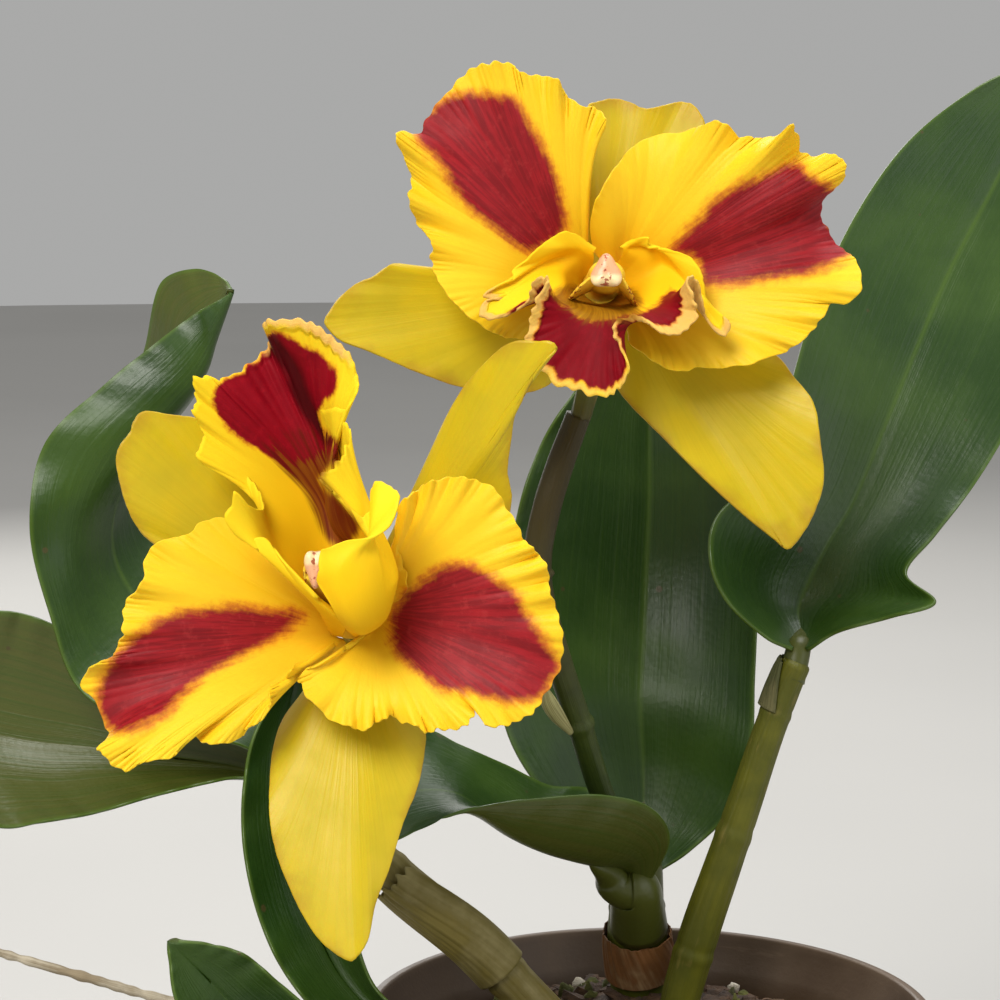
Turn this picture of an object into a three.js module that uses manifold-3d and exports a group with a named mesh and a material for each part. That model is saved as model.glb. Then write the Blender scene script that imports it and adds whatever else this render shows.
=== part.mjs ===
// Potted rhyncattleanthe orchid: two yellow splash-petalled blooms with red lips,
// strap leaves on leaning canes, and a plain brown pot filled with bark.
// Millimetres, +Z up. The origin is the centre of the pot's flat foot; the blooms face -Y.

import * as THREE from 'three';
import { mergeVertices } from 'three/addons/utils/BufferGeometryUtils.js';
import Module from 'manifold-3d';

// The pot, a 100 mm nursery pot.
const POT = {
  rimRadius: 50,
  height: 86,
  bandHeight: 9,
  bodyRadius: 46.5, // outside, just under the rim band
  footRadius: 34,
  wall: 2,
  rimStep: 0.6, // how far the band's edges and the inner ledge step in
  ledge: 3, // height of the inner ledge under the band
  sides: 28,
  holeRadius: 4,
  holeCircle: 26,
  holes: 6,
};
// The bark: level at the wall, and heaped up round the canes.
const BARK = {
  wallLevel: 75, heap: 8, heapAcross: 0, heapBack: 16, heapReach: 20, clearance: 0.35, rough: 1.6,
  sectors: 22, rings: 5, chips: 34, chipsReach: 40, chipLift: 0.6, chipTilt: 0.35, seed: 11,
};
// The least chip, and how much larger each side may be.
const CHIP = { least: [5, 4, 2.5], more: [5, 3, 2] };

// Thickness of the living sheets.
const THICK = { petal: 0.7, sepal: 0.8, lip: 0.7, leaf: 1.3, sheath: 0.7 };
const FIT = 0.35; // air between a cane and what sits round it
const SHEATH_LIFT = 0.1; // how much further a sheath stands off its cane
const SHEATH_FLARE = 0.4; // and how much more at its mouth
const SHEATH_OPENS = 50; // degrees less of wrap at its mouth

// How shiny each kind of piece is: 0 is a mirror, 1 is chalk.
const ROUGHNESS = {
  pot: 0.55, cane: 0.6, root: 0.85, paper: 0.8, bark: 0.95, leaf: 0.45, stem: 0.55, bloom: 0.5,
};

// Steps along each kind of round body.
const STEPS = { cane: 9, root: 11, stem: 12, ovary: 7, column: 5, anther: 4 };

// Every bloom, and the leafy plant, is laid out on a flat sheet that faces one eye.
// A point on a sheet is [across, up, out] in mm: out brings it nearer along the sight line.
const EYE = new THREE.Vector3(-26, -480, 243.5);
const PITCH = THREE.MathUtils.degToRad(8);
const SIGHT = new THREE.Vector3(0, Math.cos(PITCH), -Math.sin(PITCH));
const UP = new THREE.Vector3(0, Math.sin(PITCH), Math.cos(PITCH));
const ACROSS = new THREE.Vector3(1, 0, 0);
const SHEETS = {
  plant: { distance: 485, across: 0, up: 0 },
  upper: { distance: 437, across: 15.4, up: 32.4 },
  lower: { distance: 405, across: -21.4, up: -14.3 },
};

// Blooms. A petal or sepal fans out from its claw to its margin; the claw and the margin
// run the same way round. A lip is rings from the foot through the tube to the margin.
const UPPER = {
  petal_left: {
    claw: [[-2.5, -1.5, -9.5], [-3, 0.5, -9.5], [-2, 3, -9.5]],
    bulge: 2,
    margin: [
      [-4.5, -5, -8], [-8.5, -7, -5], [-12.5, -7.5, -1], [-15.5, -7, 1], [-19, -5, 3], [-22.5, -2, 3],
      [-25, 1.5, 2], [-26, 4.5, 1], [-26, 7.5, 3], [-28, 10, 0], [-29.5, 14, 4], [-29, 17, 1],
      [-30, 20, 3], [-31.5, 23.5, 6], [-30.5, 24.5, 5], [-28, 24, 1], [-26, 27.5, -1], [-23, 31, 0],
      [-20, 34, 1], [-17, 35, 3], [-14, 35, 1], [-12, 33.5, 2], [-9, 33, 0], [-6.5, 32.5, 3],
      [-5.5, 30.5, 0], [-3, 28.5, 1], [-0.5, 28, 0], [1, 26, 2], [-0.5, 23, -1], [-2.5, 18.5, -3],
      [-4, 14, -4], [-4, 9.5, -6], [-3, 6, -8],
    ],
  },
  petal_right: {
    claw: [[3, -1.5, -9.5], [3, 0.5, -9.5], [2.5, 3, -9.5]],
    bulge: 2,
    margin: [
      [5, -5, -7], [4.5, -8, -3], [7, -10, 0], [10, -12, 1], [12.5, -12.5, 3], [15.5, -12, 1],
      [20, -12, 2], [24.5, -11, 3], [28.5, -9.5, 1], [31, -8, 3], [33, -6, 1], [34.5, -4, 3],
      [36, -2, 1], [38.5, -2, 3], [40.5, 1, 4], [39.5, 4.5, 1], [38.5, 5.5, -1], [36.5, 7, -3],
      [35, 9.5, -4], [34, 11.5, -4], [34.5, 14, -2], [36, 15.5, 2], [37.5, 17, 5], [38, 19, 7],
      [37, 20.5, 7], [35, 21, 5], [33, 20.5, 2], [31, 21.5, 2], [30.5, 24, 6], [29.5, 25.5, 9],
      [28, 24, 6], [26, 23.5, 1], [23.5, 23.5, 0], [21, 24, 1], [19, 26, 3], [16, 25.5, 1],
      [13.5, 24.5, -2], [7.5, 23.5, -2], [4, 21, -1], [1.5, 17.5, 0], [-0.5, 14, 0], [-1.5, 10, -3],
      [-1, 6, -7],
    ],
  },
  sepal_dorsal: {
    claw: [[-1.5, 2.5, -12], [0, 3, -12], [2, 2.5, -12]],
    bulge: -2,
    margin: [
      [-3, 7, -13], [-4.5, 13, -14], [-4, 21.5, -15], [-2, 28, -14], [-0.5, 29, -15], [2, 29.5, -17],
      [4.5, 29, -17], [7, 28, -16], [10, 28.5, -16], [12.5, 29, -17], [15, 28, -16], [16.5, 24, -15],
      [15.5, 17, -14], [10, 10, -13], [3.5, 6, -13],
    ],
  },
  sepal_left: {
    claw: [[-1, -2, -12], [-2.5, -0.5, -12], [-2.5, 1.5, -12]],
    bulge: -1,
    margin: [
      [-4, -8.5, -13], [-6, -12.5, -13], [-8.5, -15, -12], [-12.5, -16, -11], [-17, -15.5, -10],
      [-21.5, -15, -9], [-26, -13.5, -7], [-31, -11.5, -6], [-35.5, -9.5, -5], [-39.5, -8, -5],
      [-41, -7, -5], [-42.5, -5, -5], [-41.5, -3, -5], [-40, -1, -5], [-37.5, 1, -6], [-35, 2, -6],
      [-33, 3.5, -6], [-31.5, 4, -7], [-29, 3.5, -8], [-25.5, 3, -10], [-18.5, 3.5, -12],
      [-9.5, 3, -13],
    ],
  },
  sepal_right: {
    claw: [[3, 1.5, -12], [3, -0.5, -12], [1.5, -2, -12]],
    bulge: -1,
    margin: [
      [6, -5.5, -13], [14, -7.5, -12], [21.5, -8.5, -10], [27, -10, -8], [30, -13.5, -6],
      [33, -17.5, -4], [34, -23.5, -3], [34.5, -29.5, -3], [33, -34.5, -4], [31, -38, -5],
      [29, -40, -6], [27, -38.5, -6], [21.5, -34, -5], [15.5, -28.5, -5], [9.5, -22.5, -7],
      [4.5, -17.5, -9], [2, -14, -11], [0.5, -8.5, -13],
    ],
  },
  lip: {
    rings: [
      [
        [-1.5, 3, -5.5], [-3, 1.5, -6], [-3, -0.5, -6], [-1.5, -2, -6], [0, -2.5, -6], [2, -2, -6],
        [3, -0.5, -6], [3, 1.5, -6], [2, 3, -5.5],
      ],
      [
        [-1, 5, -3], [-3.5, 4.5, -3], [-5, 2, -3], [-4, -1.5, 0], [0.5, -3, 2], [5, -2, 0],
        [7, 1.5, -3], [6, 4.5, -3], [3.5, 5.5, -3],
      ],
      [
        [-1, 6, -2], [-4.5, 6.5, -1], [-8, 4.5, -2], [-8, 1.5, 1], [-6, -2, 7], [-3, -3.5, 9],
        [0.5, -4.5, 10], [4, -4.5, 9], [7, -3.5, 8], [9.5, -1.5, 2], [11, 3, -2], [9.5, 6, -1],
        [6, 7, -2], [3.5, 6.5, -2],
      ],
      [
        [-0.5, 6.5, -2], [-2, 7.5, -1], [-3.5, 8.5, 0], [-5.5, 9, 1], [-7.5, 8, 1], [-9.5, 6.5, 2],
        [-11.5, 4.5, 2], [-13.5, 3, 2], [-13.5, 1.5, 3], [-16, 0.5, 4], [-18, -1, 4], [-15.5, -1.5, 4],
        [-14.5, -2, 4], [-16.5, -1.5, 6], [-18, -2, 6], [-18.5, -4, 7], [-16, -4.5, 7],
        [-13.5, -3.5, 6], [-11, -1.5, 8], [-10.5, 1, 10], [-9, 2, 12], [-8, 1.5, 13], [-9.5, -1, 13],
        [-10.5, -3.5, 12], [-11, -6, 11], [-11.5, -8.5, 11], [-9.5, -11.5, 11], [-7, -14.5, 11],
        [-3.5, -15.5, 12], [0, -16.5, 13], [2, -16, 13], [3.5, -14.5, 13], [4.5, -12, 14],
        [3, -8.5, 14], [2, -6, 14], [3, -4.5, 13], [6, -4, 11], [8.5, -6, 12], [11, -7, 13],
        [13.5, -6, 13], [15, -4, 12], [14.5, -1.5, 13], [13.5, 1.5, 13], [14.5, 2, 11], [15.5, 0, 9],
        [16, -3, 8], [16.5, -4.5, 7], [18, -6.5, 7], [19.5, -7, 7], [20, -5, 7], [18, -4.5, 5],
        [18, -3.5, 3], [16.5, -2, 2], [16, 1, 3], [15.5, 3, 3], [14, 5, 2], [11.5, 6, 1],
        [9.5, 6.5, 0], [7.5, 6.5, 0], [7.5, 8, 1], [6, 8, 0], [4.5, 7.5, -2], [3, 6.5, -2],
      ],
    ],
  },
  column: {
    path: [[0, 0.5, -12], [0.5, 1, -6], [0.5, 1.5, 0], [1, 2, 5], [1, 2.5, 8]],
    radii: [1.9, 2.0, 2.4, 2.7, 2.3],
  },
  anther: {
    path: [[1, 2.5, 9], [1, 3, 9.5], [1, 3, 11], [1, 3, 12]],
    radii: [1.2, 2.0, 1.9, 0.9],
  },
};

const LOWER = {
  petal_left: {
    claw: [[-1, -6, -9.5], [-2.5, -5, -9.5], [-2.5, -3, -9.5]],
    bulge: 2,
    margin: [
      [-1, -7.5, -9.5], [-3, -9, -7.5], [-5.5, -9.5, -5], [-7.5, -9, -3], [-8.5, -10, 2],
      [-9.5, -11.5, 0], [-11.5, -12.5, 2], [-11.5, -13.5, 4], [-11.5, -15, 3], [-12.5, -17, 2],
      [-14, -18, 3], [-15, -18.5, 1], [-15.5, -19.5, 1], [-18, -20.5, 3], [-20.5, -20.5, 4],
      [-21.5, -20, 2], [-23, -18.5, 0], [-24, -19.5, 2], [-24.5, -21, 5], [-25.5, -22.5, 6],
      [-28.5, -23, 7], [-30.5, -23.5, 7], [-32, -24.5, 7], [-34, -23.5, 7], [-35.5, -22, 8],
      [-36, -21, 7], [-34.5, -19.5, 4], [-35, -18, 0], [-36.5, -14.5, -2], [-38.5, -12, -2],
      [-37.5, -10, 0], [-36, -9, 2], [-34, -8, 1], [-33, -6, 1], [-32.5, -4.5, 3], [-32.5, -2, 1],
      [-32, 0, 1], [-30, 2, 3], [-29.5, 5, 1], [-28.5, 7.5, 0], [-27, 8.5, 0], [-24.5, 9, -2],
      [-22.5, 10, -2], [-20.5, 11.5, -3], [-17, 11.5, -4], [-12, 8.5, -5], [-7, 3.5, -7],
      [-3.5, -0.5, -9],
    ],
  },
  petal_right: {
    claw: [[1.5, -0.5, -9.5], [3, -2, -9.5], [3, -4.5, -9.5]],
    bulge: 2,
    margin: [
      [5, -1.5, -8], [7, 0, -6], [8, 1.5, -3], [8, 4, -3], [7, 6.5, -3], [6.5, 10, -2], [7, 13.5, -1],
      [8.5, 15, 1], [10, 16, -1], [11.5, 17, 1], [14, 17.5, 0], [16.5, 17.5, 1], [18.5, 17, 0],
      [21, 15.5, 1], [22.5, 13, 0], [24, 10.5, 1], [25, 8.5, 0], [26, 7.5, 2], [27, 6.5, 0],
      [28, 5, 2], [28.5, 3, 0], [28.5, 1, 2], [29.5, -1, 0], [30, -3.5, 1], [30.5, -6.5, 0],
      [30, -9.5, -1], [28.5, -12.5, 0], [27, -15, 1], [25.5, -16.5, 2], [23.5, -17.5, 1],
      [21.5, -18, 2], [19.5, -18, 3], [18.5, -16, 1], [18, -15, 0], [17.5, -16.5, 2], [16.5, -18, 4],
      [14.5, -18.5, 2], [12.5, -18.5, 3], [11, -19, 2], [9.5, -18, 3], [7.5, -17.5, 1], [6, -16.5, 0],
      [5, -17, 3], [3.5, -17.5, 1], [2.5, -18.5, 3], [1, -18.5, 1], [-0.5, -18, 2], [-3, -17, 1],
      [-5, -15, 2], [-6.5, -13.5, 1], [-7, -12, 0], [-7.5, -11.5, 0], [-6.5, -10, 0], [-5, -9.5, 0],
      [-2.5, -8, -1], [0, -6.5, -4.5], [2, -5.5, -7],
    ],
  },
  sepal_dorsal: {
    claw: [[-1, -5.5, -12], [0.5, -6, -12], [1.5, -5.5, -12]],
    bulge: 2,
    margin: [
      [-3, -8, -13], [-6.5, -13, -12], [-9.5, -17, -10], [-11, -21.5, -7], [-11.5, -26.5, -4],
      [-11.5, -31.5, -2], [-10.5, -36.5, -1], [-8.5, -41.5, 0], [-6.5, -45.5, 1], [-4, -49, 2],
      [-0.5, -51.5, 3], [1, -51, 3], [2.5, -48.5, 2], [3.5, -43.5, 0], [5.5, -38.5, -2],
      [7.5, -32, -4], [9.5, -27, -6], [10.5, -22, -9], [10.5, -18, -11], [8, -13, -12], [3.5, -8, -13],
    ],
  },
  sepal_left: {
    claw: [[-2, -4.5, -12], [-2.5, -3, -12], [-1, -1.5, -12]],
    bulge: -1,
    margin: [
      [-5.5, -3.5, -13], [-14.5, -0.5, -12], [-21.5, 3.5, -10], [-28, 8, -8], [-30.5, 10.5, -8],
      [-32, 13.5, -7], [-33, 17, -7], [-33.5, 20, -7], [-33, 22, -7], [-31.5, 24, -7], [-31, 25.5, -7],
      [-29.5, 27, -8], [-25.5, 26.5, -9], [-22, 26, -10], [-17, 24, -12], [-10.5, 18.5, -13],
      [-4.5, 8, -13], [-1.5, 1.5, -13],
    ],
  },
  sepal_right: {
    claw: [[0.5, -0.5, -12], [2.5, -1.5, -12], [3, -3.5, -12]],
    bulge: -1,
    margin: [
      [3, 3, -13], [7, 10, -12], [10, 16, -11], [11.5, 20.5, -10], [13.5, 25.5, -8], [16, 30, -6],
      [18.5, 33, -4], [21, 35.5, -2], [23.5, 37, 0], [26.5, 37, 1], [28.5, 37, 2], [29.5, 36, 2],
      [28, 34.5, 2], [26.5, 32.5, 1], [25, 29.5, 0], [23.5, 26.5, -2], [23, 23, -4], [22.5, 18.5, -6],
      [23, 13.5, -8], [20, 5.5, -11], [11.5, -1.5, -12], [5, -4.5, -13],
    ],
  },
  lip: {
    rings: [
      [
        [-1, -5, -5], [-2.5, -4.5, -5], [-2.5, -2.5, -5.5], [-2, -0.5, -6], [0, 0.5, -6],
        [2, -0.5, -5.5], [3, -2.5, -5], [2.5, -4, -4], [0.5, -5, -4],
      ],
      [
        [-2.5, -3, 6], [-4.5, -1, 2], [-5.5, 1.5, -4], [-3.5, 4.5, -7], [-0.5, 5, -7.5], [3, 4, -5],
        [5.5, 1.5, 1], [5, -2, 6], [1.5, -4, 9], [-1.5, -2.5, 10],
      ],
      [
        [-6.5, 1.5, 8], [-9.5, 4, 4], [-10.5, 7.5, -1], [-8.5, 13, -6], [-5, 15.5, -8],
        [-1.5, 14.5, -6], [1, 12, -3], [4, 10.5, 1], [6, 8, 6], [3, 4.5, 12], [-1.5, 3.5, 14],
        [-4.5, 2.5, 12],
      ],
      [
        [-7, 2.5, 9], [-9.5, 5.5, 7], [-11, 7.5, 6], [-12.5, 9, 6], [-15, 8.5, 6], [-17, 10, 7],
        [-18, 12, 8], [-17, 13.5, 8], [-16.5, 15.5, 9], [-14.5, 13.5, 7], [-12.5, 13, 3],
        [-13, 15.5, -1], [-14.5, 17.5, -3], [-16, 18.5, -4], [-19, 19, -3], [-21, 19.5, -1],
        [-22, 21, 0], [-21, 23, -1], [-21.5, 25, -1], [-22.5, 27, 1], [-22, 29, 0], [-22.5, 31.5, 2],
        [-20.5, 32, 1], [-18.5, 31.5, -1], [-15.5, 33, -3], [-13.5, 34.5, -5], [-12, 36, -5],
        [-11.5, 37.5, -3], [-12.5, 39.5, 1], [-11, 40, 3], [-7, 40, 4], [-4.5, 39, 5], [-2, 37, 5],
        [0, 35, 6], [1, 32, 6], [1, 30, 7], [-0.5, 27.5, 7], [-2.5, 27.5, 6], [-4, 27, 2],
        [-3.5, 26.5, 2], [-1, 25.5, 6], [0, 24, 7], [-0.5, 22, 7], [-1.5, 20, 8], [-3, 18.5, 10],
        [-4.5, 17.5, 12], [-2.5, 15.5, 11], [-0.5, 13.5, 10], [1.5, 12, 9], [3, 13, 7], [3, 15.5, 6],
        [4, 17, 7], [6, 16, 8], [7, 15, 9], [6.5, 12.5, 12], [5.5, 10.5, 13], [3, 9, 14],
        [-0.5, 8.5, 14], [-3, 7.5, 14], [-6.5, 7.5, 13], [-6, 5, 13], [-5, 2.5, 12],
      ],
    ],
  },
  column: {
    path: [[0.5, -3, -12], [0, -2, -6], [-1.5, 0, 0], [-3.5, 3, 5], [-4.5, 4.5, 7.5]],
    radii: [1.9, 2.0, 2.3, 2.5, 2.2],
  },
  anther: {
    path: [[-5, 5, 8.5], [-5, 5.5, 9.5], [-5.5, 5.5, 10.5], [-5.5, 6, 11.5]],
    radii: [1.2, 1.9, 1.8, 0.9],
  },
};

// Leaves: stations from base to tip, each one edge, the rib and the other edge.
const LEAVES = {
  leaf_right: [
    [[50, -25.5, -7], [51, -26, -9], [53, -25.5, -7]],
    [[45.5, -23.5, -3], [51.5, -23, -14], [58, -22.5, -3]],
    [[39, -17.5, 2], [51, -19, -17], [67, -20, 3]],
    [[36, -10.5, 2], [52.5, -14.5, -18], [74.5, -17.5, 3]],
    [[37, -3, -4], [56, -7.5, -19], [69.5, -12.5, -8]],
    [[44.5, 5, -12], [60.5, 0, -21], [74.5, -6, -14]],
    [[49.5, 19, -20], [65.5, 12, -24], [81.5, 3, -20]],
    [[54, 34, -26], [71, 25.5, -28], [89, 15.5, -26]],
    [[61, 49, -31], [77, 39.5, -33], [96, 29, -32]],
    [[70, 61.5, -35], [84, 53, -38], [101, 44.5, -38]],
    [[81.5, 70.5, -40], [90.5, 66, -43], [102.5, 58, -44]],
    [[92.5, 75.5, -44], [96, 73.5, -47], [101, 69.5, -47]],
    [[99.5, 77.5, -49], [100, 77.5, -49], [100.5, 77, -49]],
  ],
  leaf_left_high: [
    [[-38, -46.5, -11], [-37, -46, -12], [-36, -46, -11.5]],
    [[-44.5, -42, -7], [-42, -38, -15], [-39, -35, -18]],
    [[-58, -39, -6], [-51.5, -29, -20], [-43.5, -22.5, -28]],
    [[-71.5, -33, -6], [-61.5, -18.5, -22], [-50.5, -10.5, -36]],
    [[-77, -19.5, -7], [-66.5, -9.5, -22], [-57, 1.5, -42]],
    [[-80.5, -5, -8], [-66, 0, -20], [-63.5, 13, -43]],
    [[-78, 9.5, -9], [-60.5, 8.5, -16], [-62.5, 19.5, -40]],
    [[-68.5, 19, -10], [-53.5, 17, -15], [-60.5, 26.5, -36]],
    [[-60, 26, -11], [-50.5, 22.5, -15], [-58, 37, -31]],
    [[-52, 32, -13], [-49, 27.5, -16], [-52, 39.5, -26]],
    [[-48.5, 34, -15], [-47, 33, -17], [-47.5, 38, -21]],
    [[-46, 35.5, -17], [-46, 36, -17], [-46, 36, -17]],
  ],
  leaf_left_low: [
    [[-38, -46, -16.5], [-38, -47.5, -17.5], [-37, -49, -16.5]],
    [[-44.5, -39, -17], [-46, -45.5, -20], [-44, -47.5, -15]],
    [[-56.5, -32.5, -19], [-58, -44, -23], [-50.5, -48.5, -14]],
    [[-68.5, -25.5, -19], [-69, -42.5, -24], [-60.5, -51, -13]],
    [[-78.5, -20.5, -18], [-79, -41.5, -24], [-69, -53.5, -13]],
    [[-85.5, -19, -18], [-87.5, -40, -24], [-77.5, -55, -13]],
    [[-94, -19.5, -18], [-96, -38.5, -23], [-85.5, -56, -14]],
    [[-102, -25, -18], [-102.5, -37, -22], [-96, -52.5, -15]],
    [[-108, -32.5, -18], [-108, -35.5, -20], [-105, -43, -17]],
    [[-110.5, -35, -19], [-111, -35, -19], [-110.5, -35.5, -19]],
  ],
  leaf_strap: [
    [[-11.5, -94, 8], [-10.5, -92.5, 6], [-9.5, -91.5, 8]],
    [[-25.5, -92, 10], [-20.5, -88.5, 4], [-17, -87.5, 8]],
    [[-35, -83.5, 8], [-28, -80.5, 0], [-22.5, -81.5, 6]],
    [[-41, -72, 6], [-33.5, -67.5, -3], [-26.5, -67.5, 3]],
    [[-44, -57.5, 4], [-36.5, -53.5, -5], [-29.5, -53.5, 0]],
    [[-43, -43.5, 2], [-37, -40.5, -6], [-31, -41, -2]],
    [[-39, -34, 1], [-35.5, -31.5, -5], [-31.5, -32, -2]],
    [[-34.5, -26.5, 0], [-34, -26, -1], [-33.5, -26.5, -1]],
  ],
  leaf_small: [
    [[-12, -94.5, 12], [-11, -93.5, 11], [-9.5, -92, 12]],
    [[-26.5, -96, 20], [-22.5, -93, 15], [-19.5, -90.5, 18]],
    [[-40.5, -96, 24], [-36, -92, 17], [-30, -88.5, 20]],
    [[-51.5, -93.5, 28], [-44.5, -87.5, 20], [-37.5, -83, 23]],
    [[-55.5, -85.5, 29], [-50, -82, 24], [-43.5, -78, 26]],
    [[-56.5, -79, 29], [-54, -78, 27], [-50, -76, 28]],
    [[-57, -75.5, 29], [-56, -75.5, 29], [-55, -75.5, 29]],
  ],
  leaf_middle_low: [
    [[25, -66.5, -15], [23.5, -67.5, -16], [21.5, -66.5, -16.5]],
    [[29, -58, -7], [21, -63, -13.5], [24, -60, -25]],
    [[25.5, -52.5, 2], [15.5, -62, -6], [22, -54, -26]],
    [[17, -50.5, 7], [8, -60, -1], [15, -49.5, -24]],
    [[7.5, -51, 11], [1.5, -57, 3], [8.5, -49, -20]],
    [[-1, -52, 12], [-4, -53, 4], [1, -45.5, -18]],
    [[-8.5, -54, 12], [-8.5, -50.5, 5], [-7, -42, -14]],
    [[-17, -58, 12], [-15.5, -50.5, 6], [-13, -39.5, -10]],
    [[-25.5, -62.5, 12], [-22.5, -54, 7], [-19, -43, -5]],
    [[-30, -66, 10], [-27.5, -59, 7], [-25.5, -51.5, 1]],
    [[-32.5, -66, 8], [-32.5, -65.5, 7], [-32, -65, 7]],
  ],
  leaf_middle_high: [
    [[22.5, -64.5, -24.5], [24, -64.5, -25.5], [25.5, -64.5, -24.5]],
    [[17, -59, -28], [24.5, -57, -33], [32.5, -60, -28]],
    [[8.5, -51.5, -28], [24.5, -46, -36], [40, -52.5, -27]],
    [[1.5, -40.5, -27], [24, -34, -36], [43, -42.5, -25]],
    [[-0.5, -27.5, -29], [24.5, -22.5, -40], [43.5, -31, -29]],
    [[0.5, -15.5, -31], [25, -11, -42], [44, -19, -32]],
    [[2.5, -5, -32], [25.5, 0, -42], [44.5, -7.5, -34]],
    [[5, 4.5, -32], [25.5, 9.5, -41], [44, 3.5, -35]],
    [[9, 13, -32], [25.5, 18, -38], [40, 13.5, -35]],
    [[15.5, 21.5, -31], [25.5, 25, -35], [33.5, 22.5, -34]],
    [[24, 28, -31], [25, 28.5, -32], [25.5, 28, -32]],
  ],
  bract: [
    [[11.5, -39.5, -3], [12, -40, -2], [12.5, -39.5, -2.5]],
    [[8.5, -37, -0.5], [9.5, -37.5, 1.5], [11, -36.5, 1]],
    [[7, -34.5, 2], [8, -35, 4.5], [9.5, -34, 4]],
    [[7, -32.5, 4], [7.5, -32, 5], [8, -32, 4.5]],
  ],
};

// Canes, stems and roots: a middle line with a radius at each point.
const STEMS = {
  cane_right: {
    path: [[29.5, -91.5, -20], [31.5, -83, -19], [34.5, -73, -17], [38, -63, -15], [42, -51.5, -13],
      [45.5, -41, -11], [48.5, -33, -9.5], [51, -27.5, -8]],
    radii: [3.1, 3.5, 3.5, 3.3, 3.0, 2.8, 2.7, 2.5],
  },
  cane_middle: {
    path: [[24.5, -87.5, -32], [24, -82, -29], [23.5, -74.5, -25], [23.5, -66, -20]],
    radii: [4.6, 5.4, 5.3, 4.4],
  },
  cane_left: {
    path: [[14, -93.5, -21], [5, -85.5, -16], [-5, -75, -13], [-16.5, -65.5, -12],
      [-27.5, -55, -12.5], [-36, -48, -14]],
    radii: [3.2, 3.9, 3.8, 3.6, 3.2, 2.6],
  },
  cane_front: {
    path: [[-1, -105.5, 5], [-4.5, -100, 7], [-7, -95.5, 8], [-9.5, -93, 8]],
    radii: [2.2, 3.2, 3.2, 2.4],
  },
  flower_stem: {
    path: [[23, -58.5, -19], [20, -55, -15.5], [17, -49, -10.5], [13.5, -38, -4], [10, -27.5, 2],
      [7, -17, 7], [6.5, -9.5, 9], [8, -1.5, 11], [10.5, 6.5, 12], [13.5, 14.5, 14]],
    radii: [2.1, 2.1, 2.1, 2.2, 2.3, 2.4, 2.4, 2.4, 2.3, 2.1],
  },
  ovary_upper: {
    path: [[14, 15, 14.5], [15.5, 21, 16], [16.5, 27.5, 19], [17.5, 33, 25], [17.5, 36.5, 35]],
    radii: [1.7, 2.0, 2.4, 2.4, 2.0],
  },
  ovary_lower: {
    path: [[8, -25, 7], [0, -26.5, 22], [-8.5, -26.5, 38], [-17, -25, 52], [-23, -23, 61],
      [-25.5, -21.5, 67]],
    radii: [1.6, 1.7, 2.0, 2.3, 2.3, 2.0],
  },
  root_loose: {
    path: [[5, -105, 0], [0, -99.5, 1], [-7, -94, 2], [-13.5, -90.5, 1], [-23, -89, 0],
      [-34, -87, 4], [-45.5, -87.5, 8], [-57.5, -85.5, 12], [-70, -82, 14], [-84, -78, 15],
      [-92.5, -75.5, 15]],
    radii: [1.1, 1.1, 1.1, 1.0, 1.0, 0.9, 0.9, 0.8, 0.8, 0.7, 0.4],
  },
};

// Sheaths of the right, middle and left cane: where each starts and ends along the cane,
// where round it the wrap starts (degrees from the front), and how far it goes round.
const SHEATHS = [
  { from: 0.8, to: 0.985, start: -200, sweep: 190 },
  { from: 0.42, to: 0.66, start: -150, sweep: 190 },
  { from: 0.3, to: 0.62, start: -150, sweep: 250 },
];

const COLOURS = {
  pot: 0x4a3018,
  bark: 0x3b2a1a,
  cane: 0x6b7331,
  oldCane: 0x9a8552,
  stem: 0x4c5a22,
  ovary: 0x8f9a35,
  leaf: 0x3d6418,
  leafDark: 0x35501c,
  sheath: 0xa5916a,
  petal: 0xf8d32a,
  sepal: 0xd2b418,
  lip: 0xf2c21c,
  column: 0xf6cf3a,
  anther: 0xf0c8a0,
  root: 0x8c7a5a,
};

const wasm = await Module();
wasm.setup();

const plant = new THREE.Group();
plant.name = 'potted_rhyncattleanthe';

/** A repeatable draw in 0..1. */
function seededDraw(seed) {
  let state = seed;
  return () => {
    state = (state * 1664525 + 1013904223) % 4294967296;
    return state / 4294967296;
  };
}

/** Where a sheet point lies in the room. */
function place(sheet, [across, up, out]) {
  const { distance, across: middleAcross, up: middleUp } = SHEETS[sheet];
  const offset = SIGHT.clone().multiplyScalar(distance)
    .addScaledVector(ACROSS, middleAcross + across)
    .addScaledVector(UP, middleUp + up);
  return EYE.clone().addScaledVector(offset, 1 - out / distance);
}

/** A smooth line through points, read at t from 0 to 1; the points are equally spaced in t. */
function along(points, t) {
  const last = points.length - 1;
  const x = Math.min(Math.max(t, 0), 1) * last;
  const i = Math.min(Math.floor(x), last - 1);
  const f = x - i;
  const b = points[i];
  const c = points[i + 1];
  const a = points[i - 1] ?? b.map((v, k) => 2 * v - c[k]);
  const d = points[i + 2] ?? c.map((v, k) => 2 * v - b[k]);
  return b.map((v, k) => 0.5 * (2 * v + (c[k] - a[k]) * f
    + (2 * a[k] - 5 * v + 4 * c[k] - d[k]) * f * f
    + (3 * v - a[k] - 3 * c[k] + d[k]) * f * f * f));
}

/** The margin without its frills: each point averaged with its neighbours, the ends kept. */
function calmed(margin, reach) {
  return margin.map((point, i) => {
    const hold = 1 - Math.min(1, Math.min(i, margin.length - 1 - i) / (2 * reach));
    let total = 0;
    const sum = [0, 0, 0];
    margin.forEach((other, j) => {
      const weight = Math.exp(-0.5 * ((i - j) / reach) ** 2);
      total += weight;
      other.forEach((v, k) => { sum[k] += weight * v; });
    });
    return point.map((v, k) => hold * v + (1 - hold) * sum[k] / total);
  });
}

const steps = (count) => Array.from({ length: count + 1 }, (_, i) => i / count);

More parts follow.
